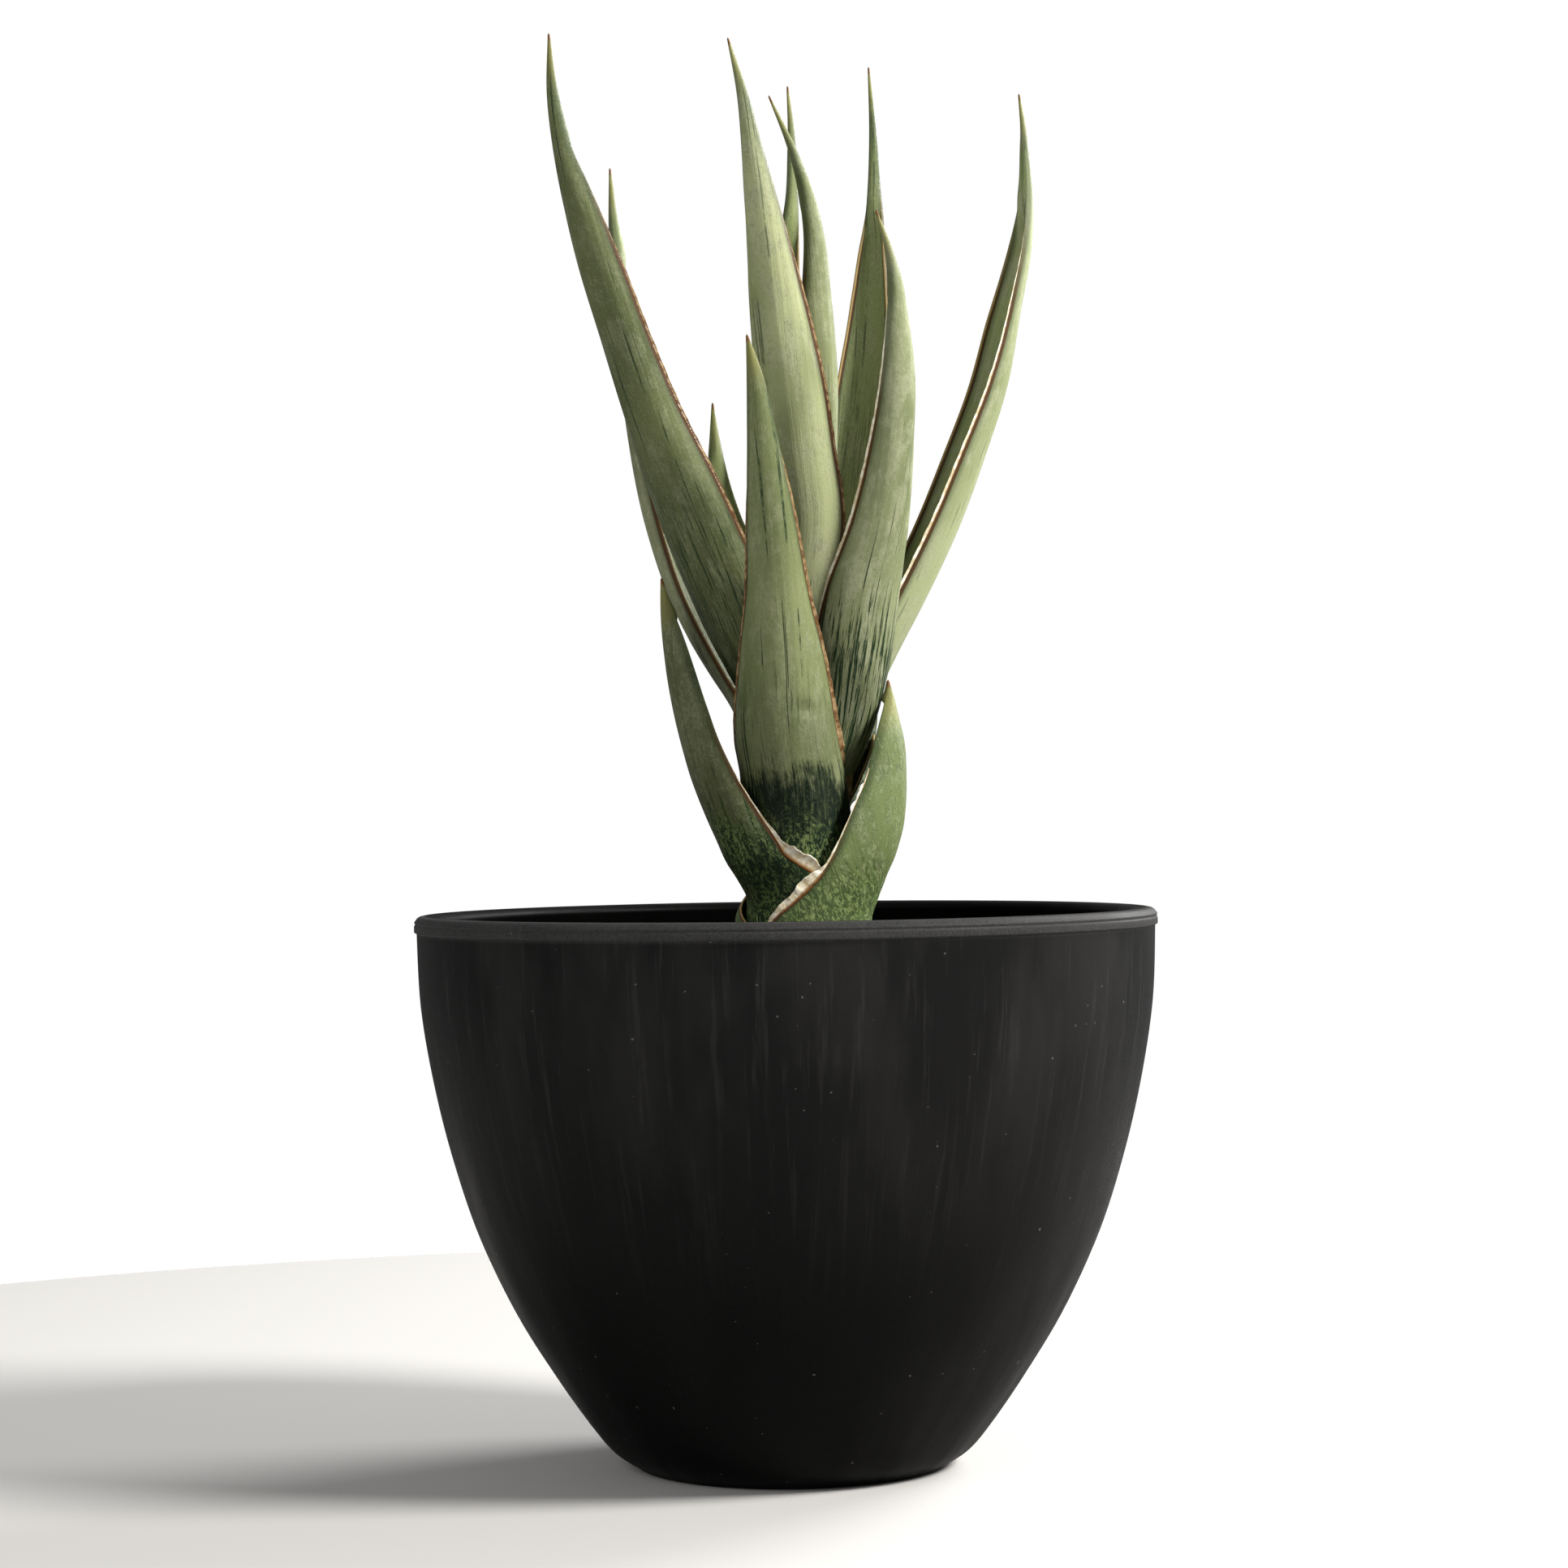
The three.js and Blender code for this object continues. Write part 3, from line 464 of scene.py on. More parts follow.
class Look:
    """Short names for the nodes of one material."""

    def __init__(self, name, **shader):
        self.material = bpy.data.materials.new(name)
        self.material.use_nodes = True
        self.tree = self.material.node_tree
        self.shader = self.tree.nodes["Principled BSDF"]
        for key, value in shader.items():
            self.feed(self.shader.inputs[key.replace("_", " ")], value)

    def feed(self, socket, value):
        if isinstance(value, bpy.types.NodeSocket):
            self.tree.links.new(value, socket)
        elif socket.type == "RGBA" and len(value) == 3:
            socket.default_value = (*value, 1)
        else:
            socket.default_value = value

    def node(self, kind, values, output=0, **settings):
        node = self.tree.nodes.new("ShaderNode" + kind)
        for key, value in settings.items():
            setattr(node, key, value)
        for key, value in values.items():
            self.feed(node.inputs[key], value)
        return node.outputs[output]

    def math(self, operation, *values):
        return self.node("Math", dict(enumerate(values)), operation=operation)

    def times(self, *values):
        result = values[0]
        for value in values[1:]:
            result = self.math("MULTIPLY", result, value)
        return result

    def plus(self, a, b):
        return self.math("ADD", a, b)

    def step(self, value, low, high, start=0.0, end=1.0):
        """Smooth step from start to end as the value goes from low to high."""
        values = {0: value, 1: low, 2: high, 3: start, 4: end}
        return self.node("MapRange", values, interpolation_type="SMOOTHSTEP")

    def mix(self, share, a, b):
        return self.node("Mix", {0: share, 6: a, 7: b}, output=2, data_type="RGBA")

    def attribute(self, name):
        return self.node("Attribute", {}, output=2, attribute_name=name)

    def noise(self, vector, detail=2.0, roughness=0.5, distortion=0.0, scale=1.0):
        values = {
            "Vector": vector, "Scale": scale, "Detail": detail,
            "Roughness": roughness, "Distortion": distortion,
        }
        return self.node("TexNoise", values)

    def place(self, x, y, z=0.0):
        return self.node("CombineXYZ", {0: x, 1: y, 2: z})

    def bump(self, height, distance, strength=1.0):
        values = {"Strength": strength, "Distance": distance, "Height": height}
        self.feed(self.shader.inputs["Normal"], self.node("Bump", values))


# Colours of the leaves
BLOOM = (0.38, 0.40, 0.25)
FRESH = (0.17, 0.26, 0.07)
FLAME = (0.003, 0.010, 0.004)
MOTTLE = (0.011, 0.030, 0.010)
RUST = (0.07, 0.03, 0.009)
CREAM = (0.58, 0.42, 0.17)
STRAW = (0.40, 0.36, 0.11)
# Painted light: inner faces are lightened towards this green, standing in for light that shines through
# the leaf
INNER_FACE_PAINTED_LIGHT = (0.28, 0.33, 0.135)
SPINE = (0.16, 0.07, 0.02)
SEED_STEP = 13.7

# Per leaf: light and deep colour, share of bloom, height below which it is mottled and how much,
# dark bands as low, high, raggedness and strength, dark streaks as low, high, strength and how
# rare they are, the strength of its long thin lines and of the faint mottling all over
LEAF_LOOKS = {
    "leaf_low_right": (
        (0.145, 0.19, 0.067), (0.112, 0.15, 0.048), 0.03, (164, 0.7), [],
        (0, 0, 0, 0.5), 0.15, 0.75),
    # leaf_low_left's dark colour pair is partly its own dark green and partly painted shade
    "leaf_low_left": (
        (0.13, 0.142, 0.062), (0.07, 0.082, 0.033), 0.0, (178, 1.0), [(157, 170, 12, 0.75)],
        (168, 185, 0.8, 0.55), 0.3, 0.5),
    "leaf_front": (
        (0.235, 0.265, 0.12), (0.14, 0.17, 0.068), 0.1, (181, 1.0),
        [(176, 190.5, 7, 1.0), (186, 212, 16, 0.3)], (190, 215, 0.6, 0.60), 0.9, 0.3),
    "leaf_back_short": (
        (0.40, 0.45, 0.21), (0.22, 0.26, 0.105), 0.2, (190, 0.6), [],
        (175, 215, 0.7, 0.5), 0.4, 0.2),
    "leaf_back_left": (
        (0.27, 0.29, 0.16), (0.15, 0.17, 0.085), 0.5, (200, 0.6), [],
        (205, 236, 0.6, 0.52), 0.4, 0.4),
    "leaf_front_right": (
        (0.27, 0.30, 0.155), (0.15, 0.18, 0.08), 0.5, (165, 0.4), [(185, 222, 16, 0.3)],
        (193, 232, 1.0, 0.48), 0.9, 0.2),
    "leaf_right": (
        (0.34, 0.38, 0.205), (0.22, 0.255, 0.12), 0.5, (205, 0.5), [],
        (198, 226, 0.5, 0.52), 0.5, 0.2),
    # leaf_front_left's colour pair is partly painted shade, and its dark streaks are partly painted
    # shadow cast by leaf_front
    "leaf_front_left": (
        (0.145, 0.168, 0.068), (0.08, 0.098, 0.038), 0.0, (214, 0.6),
        [(205, 222, 14, 0.6), (215, 250, 20, 0.35)], (214, 262, 0.85, 0.52), 0.8, 0.4),
    "leaf_front_centre": (
        (0.42, 0.45, 0.24), (0.23, 0.26, 0.12), 0.45, (205, 0.5), [(205, 235, 20, 0.3)],
        (200, 225, 0.6, 0.55), 0.6, 0.35),
    "leaf_back_right": (
        (0.15, 0.18, 0.07), (0.085, 0.105, 0.04), 0.1, (212, 0.5), [],
        (200, 300, 0.5, 0.52), 0.6, 0.4),
    "leaf_inner_right": (
        (0.28, 0.31, 0.15), (0.15, 0.18, 0.075), 0.3, (205, 0.5), [],
        (200, 230, 0.5, 0.52), 0.4, 0.3),
    "leaf_inner_back": (
        (0.15, 0.18, 0.07), (0.085, 0.105, 0.04), 0.1, (205, 0.5), [],
        (200, 250, 0.5, 0.52), 0.4, 0.3),
}


def leaf_material(name, seed):
    light, deep, bloom, (mottled_below, mottling), bands, streaks, lines, faint = LEAF_LOOKS[name]
    look = Look(name + "_skin", IOR=1.45, Specular_IOR_Level=0.18)
    arc = look.attribute("arc")
    high = look.attribute("high")
    edge = look.attribute("edge")
    inner = look.attribute("inner")
    to_tip = look.attribute("to_tip")
    seed = seed * SEED_STEP
    broad = look.noise(look.place(look.times(arc, 0.05), look.times(high, 0.022), seed))
    cloud = look.noise(look.place(look.times(arc, 0.16), look.times(high, 0.08), seed + 5), 5.0, 0.7)
    grain = look.noise(look.place(look.times(arc, 2.4), look.times(high, 1.6), seed), 3.0, 0.7)
    fibre = look.noise(look.place(look.times(arc, 1.7), look.times(high, 0.07), seed + 9), 4.0, 0.65)
    line = look.noise(look.place(look.times(arc, 0.8), look.times(high, 0.012), seed + 7), 2.0, 0.6)
    ragged = look.noise(look.place(look.times(arc, 0.9), look.times(high, 0.05), seed + 3), 5.0, 0.75)
    worm = look.noise(
        look.place(look.times(arc, 1.0), look.times(high, 0.62), seed + 1), 4.0, 0.65, 1.0)

    # Skin, painted light on its inner faces, and its bloom
    color = look.mix(look.step(broad, 0.32, 0.68), deep, light)
    # Painted light: inner faces are lightened, as if lit through the leaf
    color = look.mix(look.times(inner, 0.8), color, INNER_FACE_PAINTED_LIGHT)
    color = look.mix(look.times(look.step(cloud, 0.44, 0.62), 0.2 + bloom), color, BLOOM)
    color = look.mix(look.times(look.step(grain, 0.5, 0.68), 0.4), color, deep)
    color = look.mix(look.times(look.step(grain, 0.44, 0.3), 0.3), color, BLOOM)
    freckles = look.times(look.step(worm, 0.5, 0.58), look.step(cloud, 0.42, 0.58), faint)
    color = look.mix(look.times(freckles, 0.55), color, MOTTLE)
    color = look.mix(look.times(look.step(worm, 0.42, 0.34), faint * 0.5), color, BLOOM)
    thread = look.times(look.step(line, 0.62, 0.66), look.step(cloud, 0.4, 0.55), lines)
    color = look.mix(thread, color, MOTTLE)

    # Mottled base, dark bands and dark streaks
    astray = look.math("SUBTRACT", ragged, 0.5)
    shifted = look.plus(high, look.times(astray, 40.0))
    low_zone = look.times(look.step(shifted, mottled_below + 5, mottled_below - 5), mottling)
    color = look.mix(look.times(low_zone, 0.6), color, FRESH)
    color = look.mix(look.times(low_zone, look.step(worm, 0.42, 0.53)), color, MOTTLE)
    for low, top, rough, strength in bands:
        moved = look.plus(high, look.times(astray, 3.0 * rough))
        moved = look.plus(moved, look.times(look.math("SUBTRACT", cloud, 0.5), 26.0))
        band = look.times(
            look.step(moved, low - 9, low + 3), look.step(moved, top + rough / 2, top - rough / 2),
            look.step(fibre, 0.62, 0.5, 0.82, 1.0), look.step(worm, 0.36, 0.5, 0.88, 1.0), strength)
        color = look.mix(band, color, FLAME)
    low, top, strength, rare = streaks
    if strength:
        moved = look.plus(high, look.times(astray, 90.0))
        streak = look.times(
            look.step(fibre, rare, rare + 0.06), look.step(moved, low - 10, low + 6),
            look.step(moved, top + 8, top - 8), strength)
        color = look.mix(streak, color, MOTTLE)

    # Margins and tip
    color = look.mix(look.times(look.step(edge, 3.0, 0.9), 0.5), color, MOTTLE)
    wander = look.plus(edge, look.times(look.math("SUBTRACT", grain, 0.5), 0.5))
    below_tip = look.step(to_tip, 30, 65)
    color = look.mix(look.times(look.step(wander, 1.3, 0.9), below_tip, 0.95), color, RUST)
    pale_lip = look.times(look.step(inner, 0.22, 0.42), look.step(edge, 0.3, 0.1), below_tip)
    color = look.mix(look.times(pale_lip, 0.6), color, CREAM)
    color = look.mix(look.times(look.step(to_tip, 18, 3), 0.4), color, STRAW)
    color = look.mix(look.step(to_tip, 3.0, 1.2), color, SPINE)
    look.feed(look.shader.inputs["Base Color"], color)
    look.feed(look.shader.inputs["Roughness"], look.step(grain, 0.3, 0.7, 0.42, 0.62))
    height = look.plus(look.times(fibre, 0.35), look.times(grain, 0.3))
    look.bump(height, 0.00045, 0.8)
    return look.material


def membrane_material(name, dark, light, base):
    look = Look(name, IOR=1.4)
    along = look.attribute("along")
    out = look.attribute("out")
    pleats = look.noise(look.place(look.times(along, 0.4), look.times(out, 0.5)), 3.0, 0.6)
    # The colour follows the pleats, lighter on their crests and darker in their folds; on the paper
    # strips this is a painted highlight and painted shade of the pleats
    color = look.mix(look.step(pleats, 0.35, 0.65), dark, light)
    color = look.mix(look.step(out, 0.35, 0.0), color, base)
    look.feed(look.shader.inputs["Base Color"], color)
    look.feed(look.shader.inputs["Roughness"], look.step(pleats, 0.3, 0.7, 0.22, 0.4))
    look.bump(pleats, 0.0006, 0.8)
    return look.material


def position(look):
    """Place on the object in millimetres."""
    where = look.node("TexCoord", {}, output=3)
    return look.node("VectorMath", {0: where, 3: 1 / MM}, operation="SCALE")


# Colours of the pot: painted shade towards the foot and on the inner wall, painted light on the upper
# body and rim, and dust that is partly a painted sheen
POT_LOW_SHADED = (0.0015, 0.0015, 0.0015)
POT_HIGH_LIT = (0.008, 0.008, 0.008)
POT_DUST_AND_SHEEN = (0.028, 0.0275, 0.027)
POT_SCUFF = (0.035, 0.035, 0.034)
POT_RIM_LIT = (0.068, 0.068, 0.067)
POT_SPECK = (0.16, 0.155, 0.14)
POT_INSIDE_SHADE = (0.001, 0.001, 0.001)


def pot_material():
    look = Look("moulded_plastic", Specular_IOR_Level=0.05)
    where = position(look)
    parts = look.tree.nodes.new("ShaderNodeSeparateXYZ")
    look.feed(parts.inputs[0], where)
    x, y, z = parts.outputs
    fine = look.noise(where, 3.0, 0.6, scale=1.6)
    around = look.math("ARCTAN2", y, x)
    broad = look.noise(look.place(look.times(around, 3.5), look.times(z, 0.012)), 3.0, 0.6)
    scuff = look.noise(look.place(look.times(around, 38.0), look.times(z, 0.02)), 4.0, 0.7)
    specks = look.noise(where, 1.0, 0.4, scale=0.6)
    # Painted shade and light: the pot is darker towards the foot and lighter up the body
    color = look.mix(look.step(z, 30, 125), POT_LOW_SHADED, POT_HIGH_LIT)
    # Broad lighter patches on the upper body: partly dust, partly a painted satin sheen
    dust_and_sheen = look.times(look.step(broad, 0.4, 0.65), look.step(z, 50, 130), 0.4)
    color = look.mix(dust_and_sheen, color, POT_DUST_AND_SHEEN)
    streaks = look.times(look.step(scuff, 0.52, 0.68), look.step(z, 40, 140), 0.4)
    color = look.mix(streaks, color, POT_SCUFF)
    # The rim band is lighter: partly its mottled finish, partly painted light falling on it from above
    band_low = POT_HEIGHT - RIM_BAND
    rim = look.step(z, band_low - 1.2, band_low + 0.4)
    color = look.mix(look.times(rim, look.step(fine, 0.3, 0.7, 0.3, 0.6)), color, POT_RIM_LIT)
    color = look.mix(look.times(look.step(specks, 0.795, 0.81), 0.5), color, POT_SPECK)
    # Painted shade: the inner wall above the mix is made nearly black
    reach = look.math("SQRT", look.plus(look.times(x, x), look.times(y, y)))
    inside = look.times(look.step(reach, 100.4, 99.4), look.step(z, SOIL_LEVEL - 12, SOIL_LEVEL - 8))
    color = look.mix(inside, color, POT_INSIDE_SHADE)
    look.feed(look.shader.inputs["Base Color"], color)
    look.feed(look.shader.inputs["Roughness"], look.step(broad, 0.3, 0.7, 0.45, 0.6))
    look.bump(look.plus(fine, look.times(scuff, 0.2)), 0.00012, 0.6)
    return look.material


def soil_material(name, low, high, roughness=0.95):
    look = Look(name, Roughness=roughness)
    where = position(look)
    tone = look.noise(where, 5.0, 0.7, scale=0.35)
    look.feed(look.shader.inputs["Base Color"], look.mix(look.step(tone, 0.35, 0.65), low, high))
    look.bump(look.noise(where, 6.0, 0.75, scale=0.6), 0.0015)
    return look.material


def chip_material(name, dark, light, grain_scale, roughness):
    look = Look(name, Roughness=roughness)
    tone = look.attribute("tone")
    grain = look.noise(position(look), 5.0, 0.7, scale=grain_scale)
    mixed = look.plus(look.times(tone, 0.7), look.times(grain, 0.4))
    look.feed(look.shader.inputs["Base Color"], look.mix(look.step(mixed, 0.2, 0.85), dark, light))
    look.bump(grain, 0.0008)
    return look.material


# Pot

def spline_points(points, per_span):
    """Uniform spline through the points."""
    points = np.asarray(points, float)
    ends = np.vstack([points[:1], points, points[-1:]])
    result = []
    for i in range(len(points) - 1):
        before, start, end, after = ends[i:i + 4]
        for t in np.linspace(0, 1, per_span, endpoint=False):
            v0 = (end - before) / 2
            v1 = (after - start) / 2
            result.append(
                (2 * start - 2 * end + v0 + v1) * t**3 + (-3 * start + 3 * end - 2 * v0 - v1) * t**2
                + v0 * t + start)
    return [*result, points[-1]]


def rounded(points, radius, steps=4):
    """Closed outline with its corners rounded."""
    points = np.asarray(points, float)
    result = []
    for i, corner in enumerate(points):
        before = points[i - 1] - corner
        after = points[(i + 1) % len(points)] - corner
        reach = min(radius, np.linalg.norm(before) * 0.45, np.linalg.norm(after) * 0.45)
        start = corner + before / np.linalg.norm(before) * reach
        end = corner + after / np.linalg.norm(after) * reach
        turn = np.dot(before, after) / np.linalg.norm(before) / np.linalg.norm(after)
        if turn < -0.995:
            result.append(corner)
            continue
        for t in np.linspace(0, 1, steps):
            result.append((1 - t) ** 2 * start + 2 * t * (1 - t) * corner + t**2 * end)
    return result


def pot_profile():
    outer = spline_points(BOWL_SIDE, BOWL_STEPS)
    band_low = POT_HEIGHT - RIM_BAND
    band_middle = POT_HEIGHT - RIM_BAND / 2
    band = [
        (RIM_RADIUS, band_low), (RIM_RADIUS, band_middle - GROOVE_HALF),
        (RIM_RADIUS - RIM_GROOVE, band_middle), (RIM_RADIUS, band_middle + GROOVE_HALF),
    ]
    lip = [(RIM_RADIUS - inset, z) for inset, z in LIP]
    sides = np.array(BOWL_SIDE)
    wall = [
        (np.interp(z, sides[:, 1], sides[:, 0]) - WALL - WALL_EXTRA * (1 - z / POT_HEIGHT), z)
        for z in reversed(INNER_HEIGHTS)
    ]
    base = [
        (FLOOR_RADIUS, FLOOR_THICKNESS), (DRAIN_RADIUS, FLOOR_THICKNESS), (DRAIN_RADIUS, FOOT_RECESS),
        (FOOT_RECESS_RADIUS, FOOT_RECESS), *((radius, 0) for radius in FOOT_RING),
    ]
    return rounded([*outer, *band, *lip, *wall, *base], CORNER_RADIUS)


def turned_mesh(name, profile, segments):
    angles = np.linspace(0, 2 * math.pi, segments, endpoint=False)
    profile = np.asarray(profile)
    radius = profile[:, 0][None]
    points = np.stack([
        radius * np.cos(angles)[:, None], radius * np.sin(angles)[:, None],
        np.broadcast_to(profile[:, 1][None], (segments, len(profile))),
    ], axis=-1)
    count = len(profile)
    faces = []
    for i in range(segments):
        k = (i + 1) % segments
        for j in range(count):
            m = (j + 1) % count
            faces.append((i * count + j, k * count + j, k * count + m, i * count + m))
    return mesh_object(name, points.reshape(-1, 3), faces)


# Crumbs of the potting mix

def soil_height(x, y):
    lumps = sum(height * np.sin(kx * x + ky * y + i) for i, (height, kx, ky) in enumerate(SOIL_WAVES))
    away = np.hypot(x - CROWN[0], y - CROWN[1]) / SOIL_RISE_REACH
    return SOIL_LEVEL + lumps + SOIL_RISE * np.exp(-(away**2))


def ball(detail):
    """Points and faces of a unit ball of triangles."""
    mesh = bmesh.new()
    bmesh.ops.create_icosphere(mesh, subdivisions=detail, radius=1)
    points = np.array([v.co[:] for v in mesh.verts])
    faces = np.array([[v.index for v in f.verts] for f in mesh.faces])
    mesh.free()
    return points, faces


def scattered(name, count, detail, sizes, flatness, jitter):
    """Many small lumps on the mix's surface, as one mesh."""
    points, faces = ball(detail)
    all_points = []
    all_faces = []
    tones = []
    for i in range(count):
        size = sizes[0] + (sizes[1] - sizes[0]) * random.random() ** CRUMB_POWER
        while True:
            angle = random.uniform(0, 2 * math.pi)
            away = math.sqrt(random.uniform(0, 1)) * (CRUMB_REACH - size)
            x, y = away * math.cos(angle), away * math.sin(angle)
            if math.hypot(x - CROWN[0], y - CROWN[1]) > CROWN_CLEARING + size * 0.6:
                break
        shape = points * (1 + jitter * random.standard_normal((len(points), 1)))
        shape = shape * (size, size * random.uniform(*CRUMB_WIDTH), size * random.uniform(*flatness))
        turn = Matrix.Rotation(random.uniform(*CRUMB_TURN), 3, "Z")
        tilt = Matrix.Rotation(random.normal(0, CRUMB_TILT), 3, "X")
        shape = shape @ np.array(turn @ tilt).T
        height = soil_height(x, y) + size * random.uniform(*CRUMB_LIFT)
        all_points.append(shape + (x, y, height))
        all_faces.append(faces + i * len(points))
        tones += [random.random()] * len(points)
    return mesh_object(
        name, np.vstack(all_points), np.vstack(all_faces).tolist(), {"tone": tones}, smooth=detail > 1)


# Thin strips at the leaves' margins: name, leaf, side of the leaf, height and width pairs from the
# lowest up, how far the free edge lifts off as a share of the width, the depth of its pleats, and
# which of the looks below it has
MEMBRANES = [
    ("membrane_low_right", "leaf_low_right", -1,
     [(148.5, 0.3), (150, 1.0), (153, 1.7), (157, 2.3), (160.5, 3.0), (164, 1.2), (171, 0.6), (192, 0.3)],
     0.3, 0.34, "paper"),
    ("membrane_low_left", "leaf_low_left", 1,
     [(161, 0.5), (163, 2.4), (165.5, 3.4), (168.5, 3.0), (171.5, 1.5), (176, 0.8), (190, 0.3)],
     0.35, 0.07, "paper"),
    ("membrane_front", "leaf_front", 1,
     [(182, 0.3), (183.5, 1.3), (186, 2.3), (190, 2.6), (196, 1.9), (205, 1.3), (216, 0.9),
      (235, 0.8), (255, 0.7), (268, 0.6), (278, 0.2)],
     0.9, 0.06, "tan"),
    ("membrane_curl", "leaf_front", 1,
     [(267, 0.1), (269, 0.4), (270.5, 0.7), (271.5, 0.1)], 0.5, 0.0, "paper"),
    ("lip_front", "leaf_front", -1,
     [(192, 0.2), (200, 0.5), (225, 0.55), (250, 0.5), (268, 0.1)], 0.9, 0.02, "tan"),
    ("lip_front_right", "leaf_front_right", -1,
     [(219, 0.2), (226, 0.8), (250, 0.9), (280, 0.8), (305, 0.6), (320, 0.1)], 0.4, 0.03, "paper"),
    ("lip_right", "leaf_right", -1,
     [(226, 0.2), (236, 0.8), (265, 0.9), (300, 0.8), (330, 0.5), (348, 0.1)], 0.4, 0.05, "paper"),
    ("lip_front_centre", "leaf_front_centre", 1,
     [(236, 0.2), (245, 0.6), (275, 0.65), (315, 0.6), (345, 0.1)], 0.6, 0.02, "tan"),
    ("lip_front_left", "leaf_front_left", 1,
     [(238, 0.2), (248, 0.7), (280, 0.7), (320, 0.6), (352, 0.1)], 0.5, 0.02, "tan"),
    ("membrane_side", "leaf_front_right", 1,
     [(172, 0.3), (176, 3.0), (180, 4.6), (187, 4.8), (192, 4.4), (198, 3.2), (203, 1.2), (207, 0.3)],
     1.2, 0.05, "skin"),
]
# Dark and light colour of each look, and its colour beside the leaf; the paper look's light colour is a
# painted highlight on the crests of its pleats
MEMBRANE_LOOKS = {
    "paper": ((0.62, 0.52, 0.31), (0.96, 0.92, 0.76), (0.24, 0.11, 0.03)),
    "tan": ((0.13, 0.062, 0.022), (0.40, 0.27, 0.13), (0.06, 0.024, 0.008)),
    "skin": ((0.09, 0.12, 0.06), (0.22, 0.26, 0.16), (0.12, 0.15, 0.08)),
}
MEMBRANE_THICKNESS = 0.14
MEMBRANE_ROWS = 150
MEMBRANE_COLUMNS = 10
# Share of its width that is rooted inside the margin, and where in the margin's thickness it starts
MEMBRANE_ROOT = 0.12
MARGIN_SHARES = (0.65, 0.35)
PLEAT_LENGTH = 4.4


def membrane_faces(rows, columns):
    """Faces of a closed strip whose two layers follow one another in the points."""
    layer = rows * columns
    faces = []
    for i in range(rows - 1):
        for j in range(columns - 1):
            a = i * columns + j
            faces.append((a, a + 1, a + columns + 1, a + columns))
            faces.append((layer + a, layer + a + columns, layer + a + columns + 1, layer + a + 1))
    for j in range(columns - 1):
        top = (rows - 1) * columns + j
        faces.append((j, layer + j, layer + j + 1, j + 1))
        faces.append((top, top + 1, layer + top + 1, layer + top))
    for i in range(rows - 1):
        a = i * columns
        b = a + columns - 1
        faces.append((a, a + columns, layer + a + columns, layer + a))
        faces.append((b, layer + b, layer + b + columns, b + columns))
    return faces


def membrane_mesh(name, leaf_name, side, widths, lift, pleat):
    """A thin pleated strip along one margin of a leaf."""
    leaf = next(item for item in LEAVES if item["name"] == leaf_name)
    heights = np.linspace(widths[0][0], widths[-1][0], MEMBRANE_ROWS)
    across = np.linspace(-1, 1, FINE_SAMPLES)
    outer, inner = leaf_rings(leaf, heights, across, fine_press(leaf, heights, across))
    facing, wrap = leaf_at(leaf, heights)[3:]
    end = -1 if side > 0 else 0
    share_out, share_in = MARGIN_SHARES
    path = np.hstack([share_out * outer[:, end] + share_in * inner[:, end], heights[:, None]])
    ray = np.radians(facing + side * wrap)
    normal = np.hstack([np.cos(ray), np.sin(ray), np.zeros_like(ray)])
    sideways = side * np.hstack([-np.sin(ray), np.cos(ray), np.zeros_like(ray)])
    ahead = np.gradient(path, axis=0)
    ahead /= np.linalg.norm(ahead, axis=1, keepdims=True)
    normal -= (normal * ahead).sum(axis=1, keepdims=True) * ahead
    normal /= np.linalg.norm(normal, axis=1, keepdims=True)
    away = np.cross(normal, ahead)
    away *= np.sign((away * sideways).sum(axis=1, keepdims=True))
    run = np.append(0, np.cumsum(np.linalg.norm(np.diff(path, axis=0), axis=1)))
    wide = smooth_curve([z for z, _ in widths], [[w] for _, w in widths], heights)[:, 0]
    wide = wide * (1 + 0.08 * np.sin(run * 0.9 + 1) + 0.03 * np.sin(run * 2.3))
    out = np.linspace(-MEMBRANE_ROOT, 1, MEMBRANE_COLUMNS)
    reach = wide[:, None] * out
    wave = np.sin(2 * math.pi * run / PLEAT_LENGTH + 1.6 * np.sin(run * 0.55))
    wave = wave * (0.55 + 0.45 * np.sin(run * 0.83 + 2))
    rise = lift * reach * out + (pleat * wave * np.minimum(wide / 2, 1))[:, None] * np.abs(out)
    body = path[:, None] + away[:, None] * reach[..., None] + normal[:, None] * rise[..., None]
    half = normal[:, None] * (MEMBRANE_THICKNESS / 2 * (1.2 - out))[None, :, None]
    faces = membrane_faces(MEMBRANE_ROWS, MEMBRANE_COLUMNS)
    if np.cross(away[0], ahead[0]) @ normal[0] < 0:
        faces = [face[::-1] for face in faces]
    marks = {
        "along": np.tile(np.repeat(run, MEMBRANE_COLUMNS), 2),
        "out": np.tile(out, MEMBRANE_ROWS * 2),
    }
    points = np.vstack([(body + half).reshape(-1, 3), (body - half).reshape(-1, 3)])
    return mesh_object(name, points, faces, marks)


# Assembly

press_leaves()
for number, leaf in enumerate(LEAVES):
    piece = leaf_mesh(leaf)
    add_piece(piece, leaf_material(leaf["name"], number), [leaf["name"]])

membrane_materials = {
    name: membrane_material(name + "_margin", *colors) for name, colors in MEMBRANE_LOOKS.items()
}
for *shape, look_name in MEMBRANES:
    add_piece(membrane_mesh(*shape), membrane_materials[look_name])

pot = turned_mesh("bowl_planter", pot_profile(), POT_SEGMENTS)
add_piece(pot, pot_material(), ["pot"])

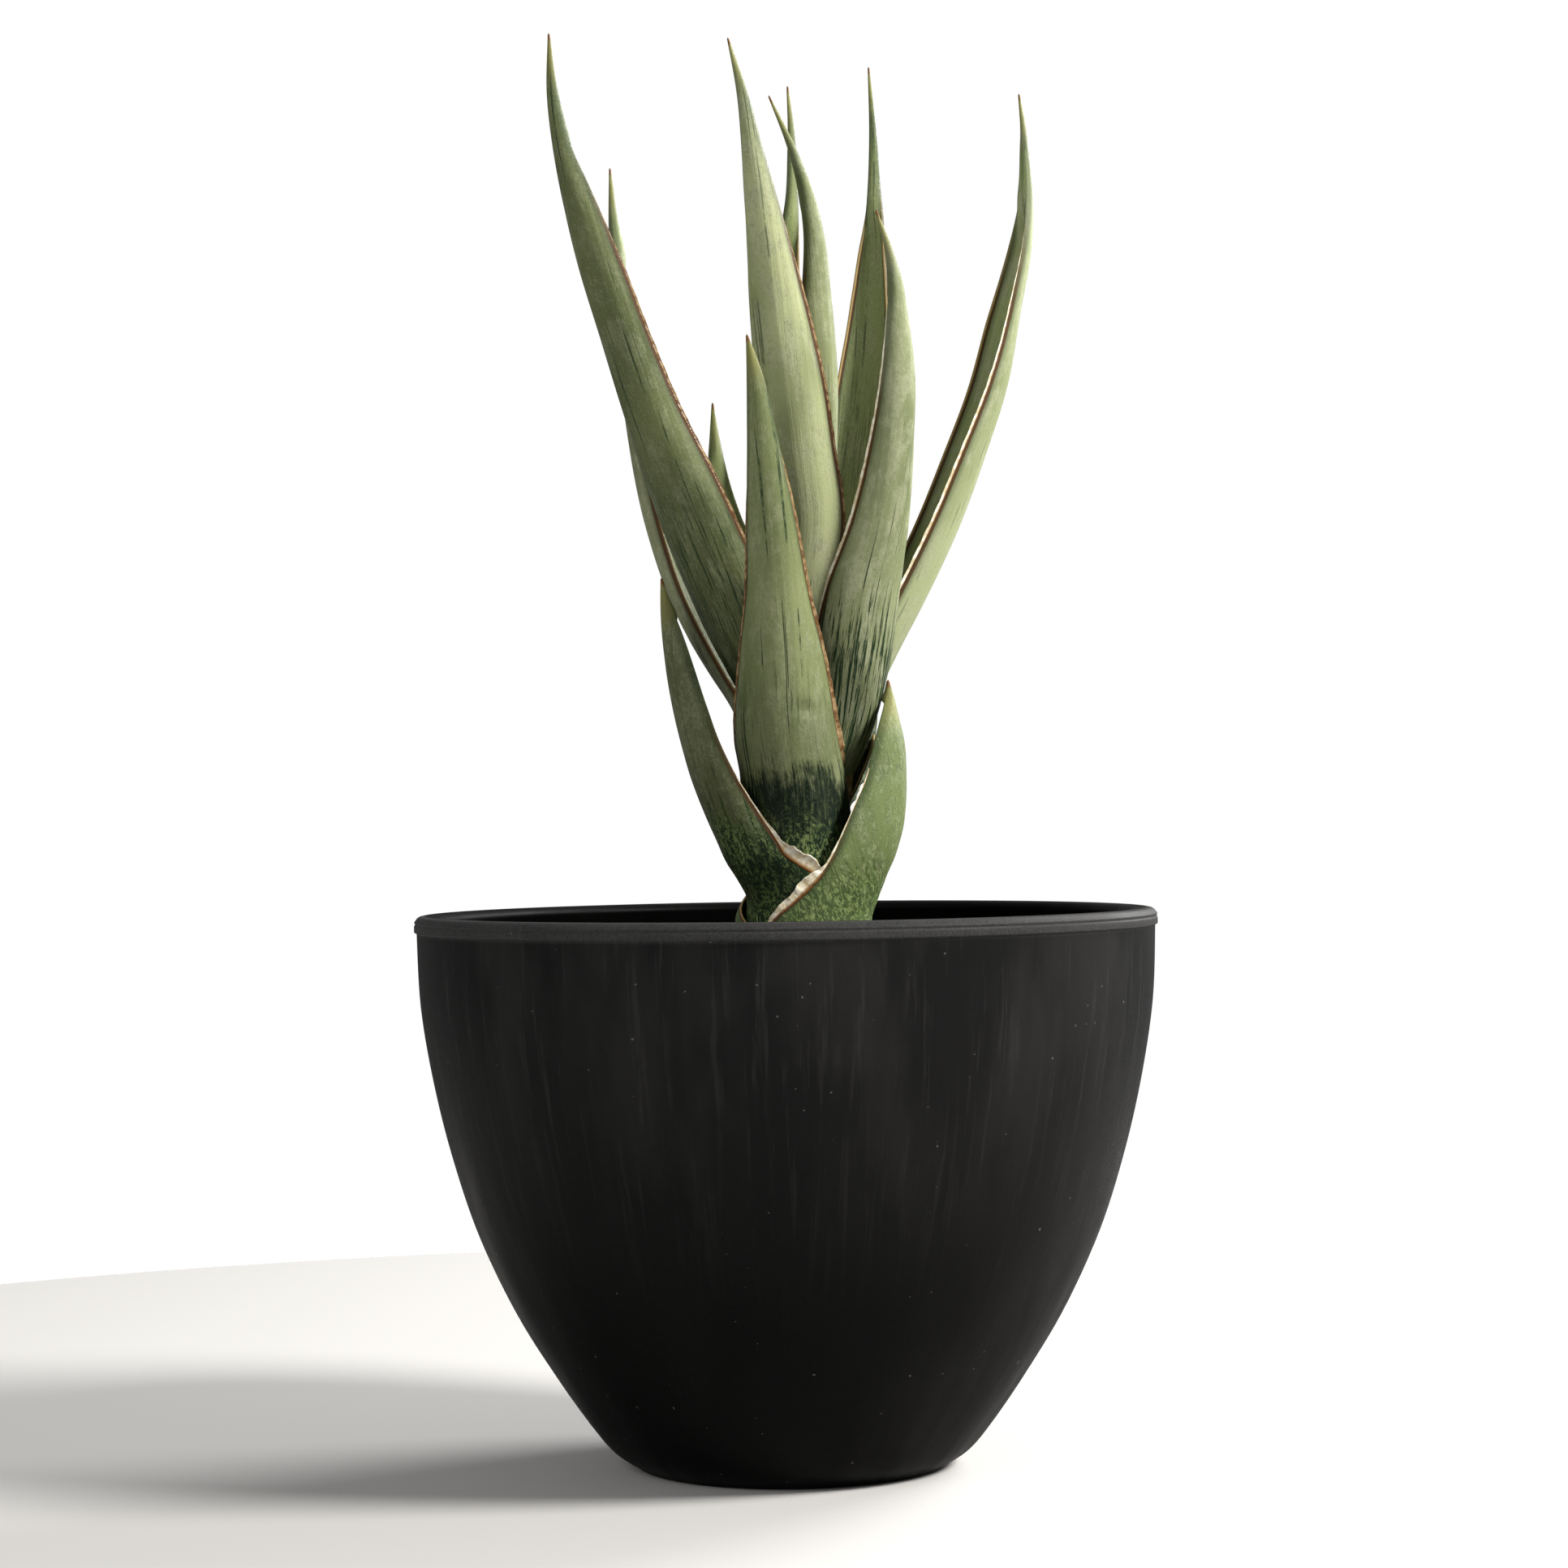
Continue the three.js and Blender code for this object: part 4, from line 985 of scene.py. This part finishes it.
mix_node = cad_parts["potting_mix"]
mix_node.data.materials.clear()
mix_node.data.materials.append(soil_material("crumbly_mix", (0.012, 0.008, 0.005), (0.05, 0.03, 0.018)))
stem_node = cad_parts["stem_and_roots"]
stem_node.data.materials.clear()
stem_node.data.materials.append(soil_material("root_bark", (0.30, 0.17, 0.06), (0.55, 0.36, 0.16), 0.8))

bark = scattered("bark_chips", CHIP_COUNT, 1, (1.2, 5.5), (0.22, 0.5), 0.16)
bark_look = chip_material("bark", (0.012, 0.007, 0.004), (0.13, 0.07, 0.035), 0.9, 0.9)
add_piece(bark, bark_look)
perlite = scattered("perlite", PERLITE_COUNT, 2, (0.9, 2.4), (0.6, 0.9), 0.08)
perlite_look = chip_material("perlite_grains", (0.45, 0.43, 0.39), (0.8, 0.79, 0.75), 1.5, 0.8)
add_piece(perlite, perlite_look)

# Studio

CAMERA_DISTANCE = 1.05
CAMERA_HEIGHT = 0.18267
CAMERA_PITCH = 0.297
CAMERA_ROLL = -0.751
FOCAL_LENGTH = 86.72
SENSOR = 36
FLOOR_REACH = 520
FLOOR_SIDES = 96
FLOOR_DROP = 0.2
BACKDROP_RADIUS = 4000
WORLD_LIGHT = 0.26
# Name, place, target, size, power and colour
LIGHTS = [
    ("key", (1.25, -0.5, 1.15), (0, 0, 0.25), 0.5, 46, (1, 0.98, 0.95)),
    ("rim", (1.0, 0.9, 0.9), (0, 0, 0.25), 0.8, 28, (1, 1, 1)),
    ("fill", (-1.0, -1.2, 0.9), (0, 0, 0.2), 1.0, 8, (1, 1, 1)),
]

camera_data = bpy.data.cameras.new("camera")
camera_data.lens = FOCAL_LENGTH
camera_data.sensor_width = SENSOR
camera = bpy.data.objects.new("camera", camera_data)
bpy.context.collection.objects.link(camera)
turn = Matrix.Rotation(math.radians(90 + CAMERA_PITCH), 4, "X")
roll = Matrix.Rotation(math.radians(CAMERA_ROLL), 4, "Z")
camera.matrix_world = Matrix.Translation((0, -CAMERA_DISTANCE, CAMERA_HEIGHT)) @ turn @ roll
bpy.context.scene.camera = camera


def area_light(name, place, target, size, power, color):
    data = bpy.data.lights.new(name, "AREA")
    data.shape = "DISK"
    data.size = size
    data.energy = power
    data.color = color
    light = bpy.data.objects.new(name, data)
    bpy.context.collection.objects.link(light)
    light.location = place
    away = light.location - Matrix.Translation(target).to_translation()
    light.rotation_euler = away.to_track_quat("Z", "Y").to_euler()


for light_values in LIGHTS:
    area_light(*light_values)


def plain_material(name, color, glow=0.0):
    look = Look(name, Roughness=0.9, Base_Color=color)
    if glow:
        look.feed(look.shader.inputs["Emission Color"], (1, 1, 1))
        look.feed(look.shader.inputs["Emission Strength"], glow)
    return look.material


floor = mesh_object("floor", [
    (FLOOR_REACH * math.cos(a), FLOOR_REACH * math.sin(a), -FLOOR_DROP)
    for a in np.linspace(0, 2 * math.pi, FLOOR_SIDES, endpoint=False)
], [tuple(range(FLOOR_SIDES))], smooth=False)
floor.data.materials.append(plain_material("pale_floor", (0.6, 0.59, 0.57)))

points, faces = ball(4)
backdrop = mesh_object("backdrop", points * BACKDROP_RADIUS, faces.tolist())
backdrop.data.materials.append(plain_material("white_backdrop", (0, 0, 0), 1.0))
backdrop.visible_diffuse = False
backdrop.visible_glossy = False
backdrop.visible_shadow = False

world = bpy.data.worlds.new("studio")
bpy.context.scene.world = world
world.use_nodes = True
background = world.node_tree.nodes["Background"]
background.inputs["Color"].default_value = (1, 1, 1, 1)
background.inputs["Strength"].default_value = WORLD_LIGHT
bpy.context.scene.view_settings.view_transform = "Standard"
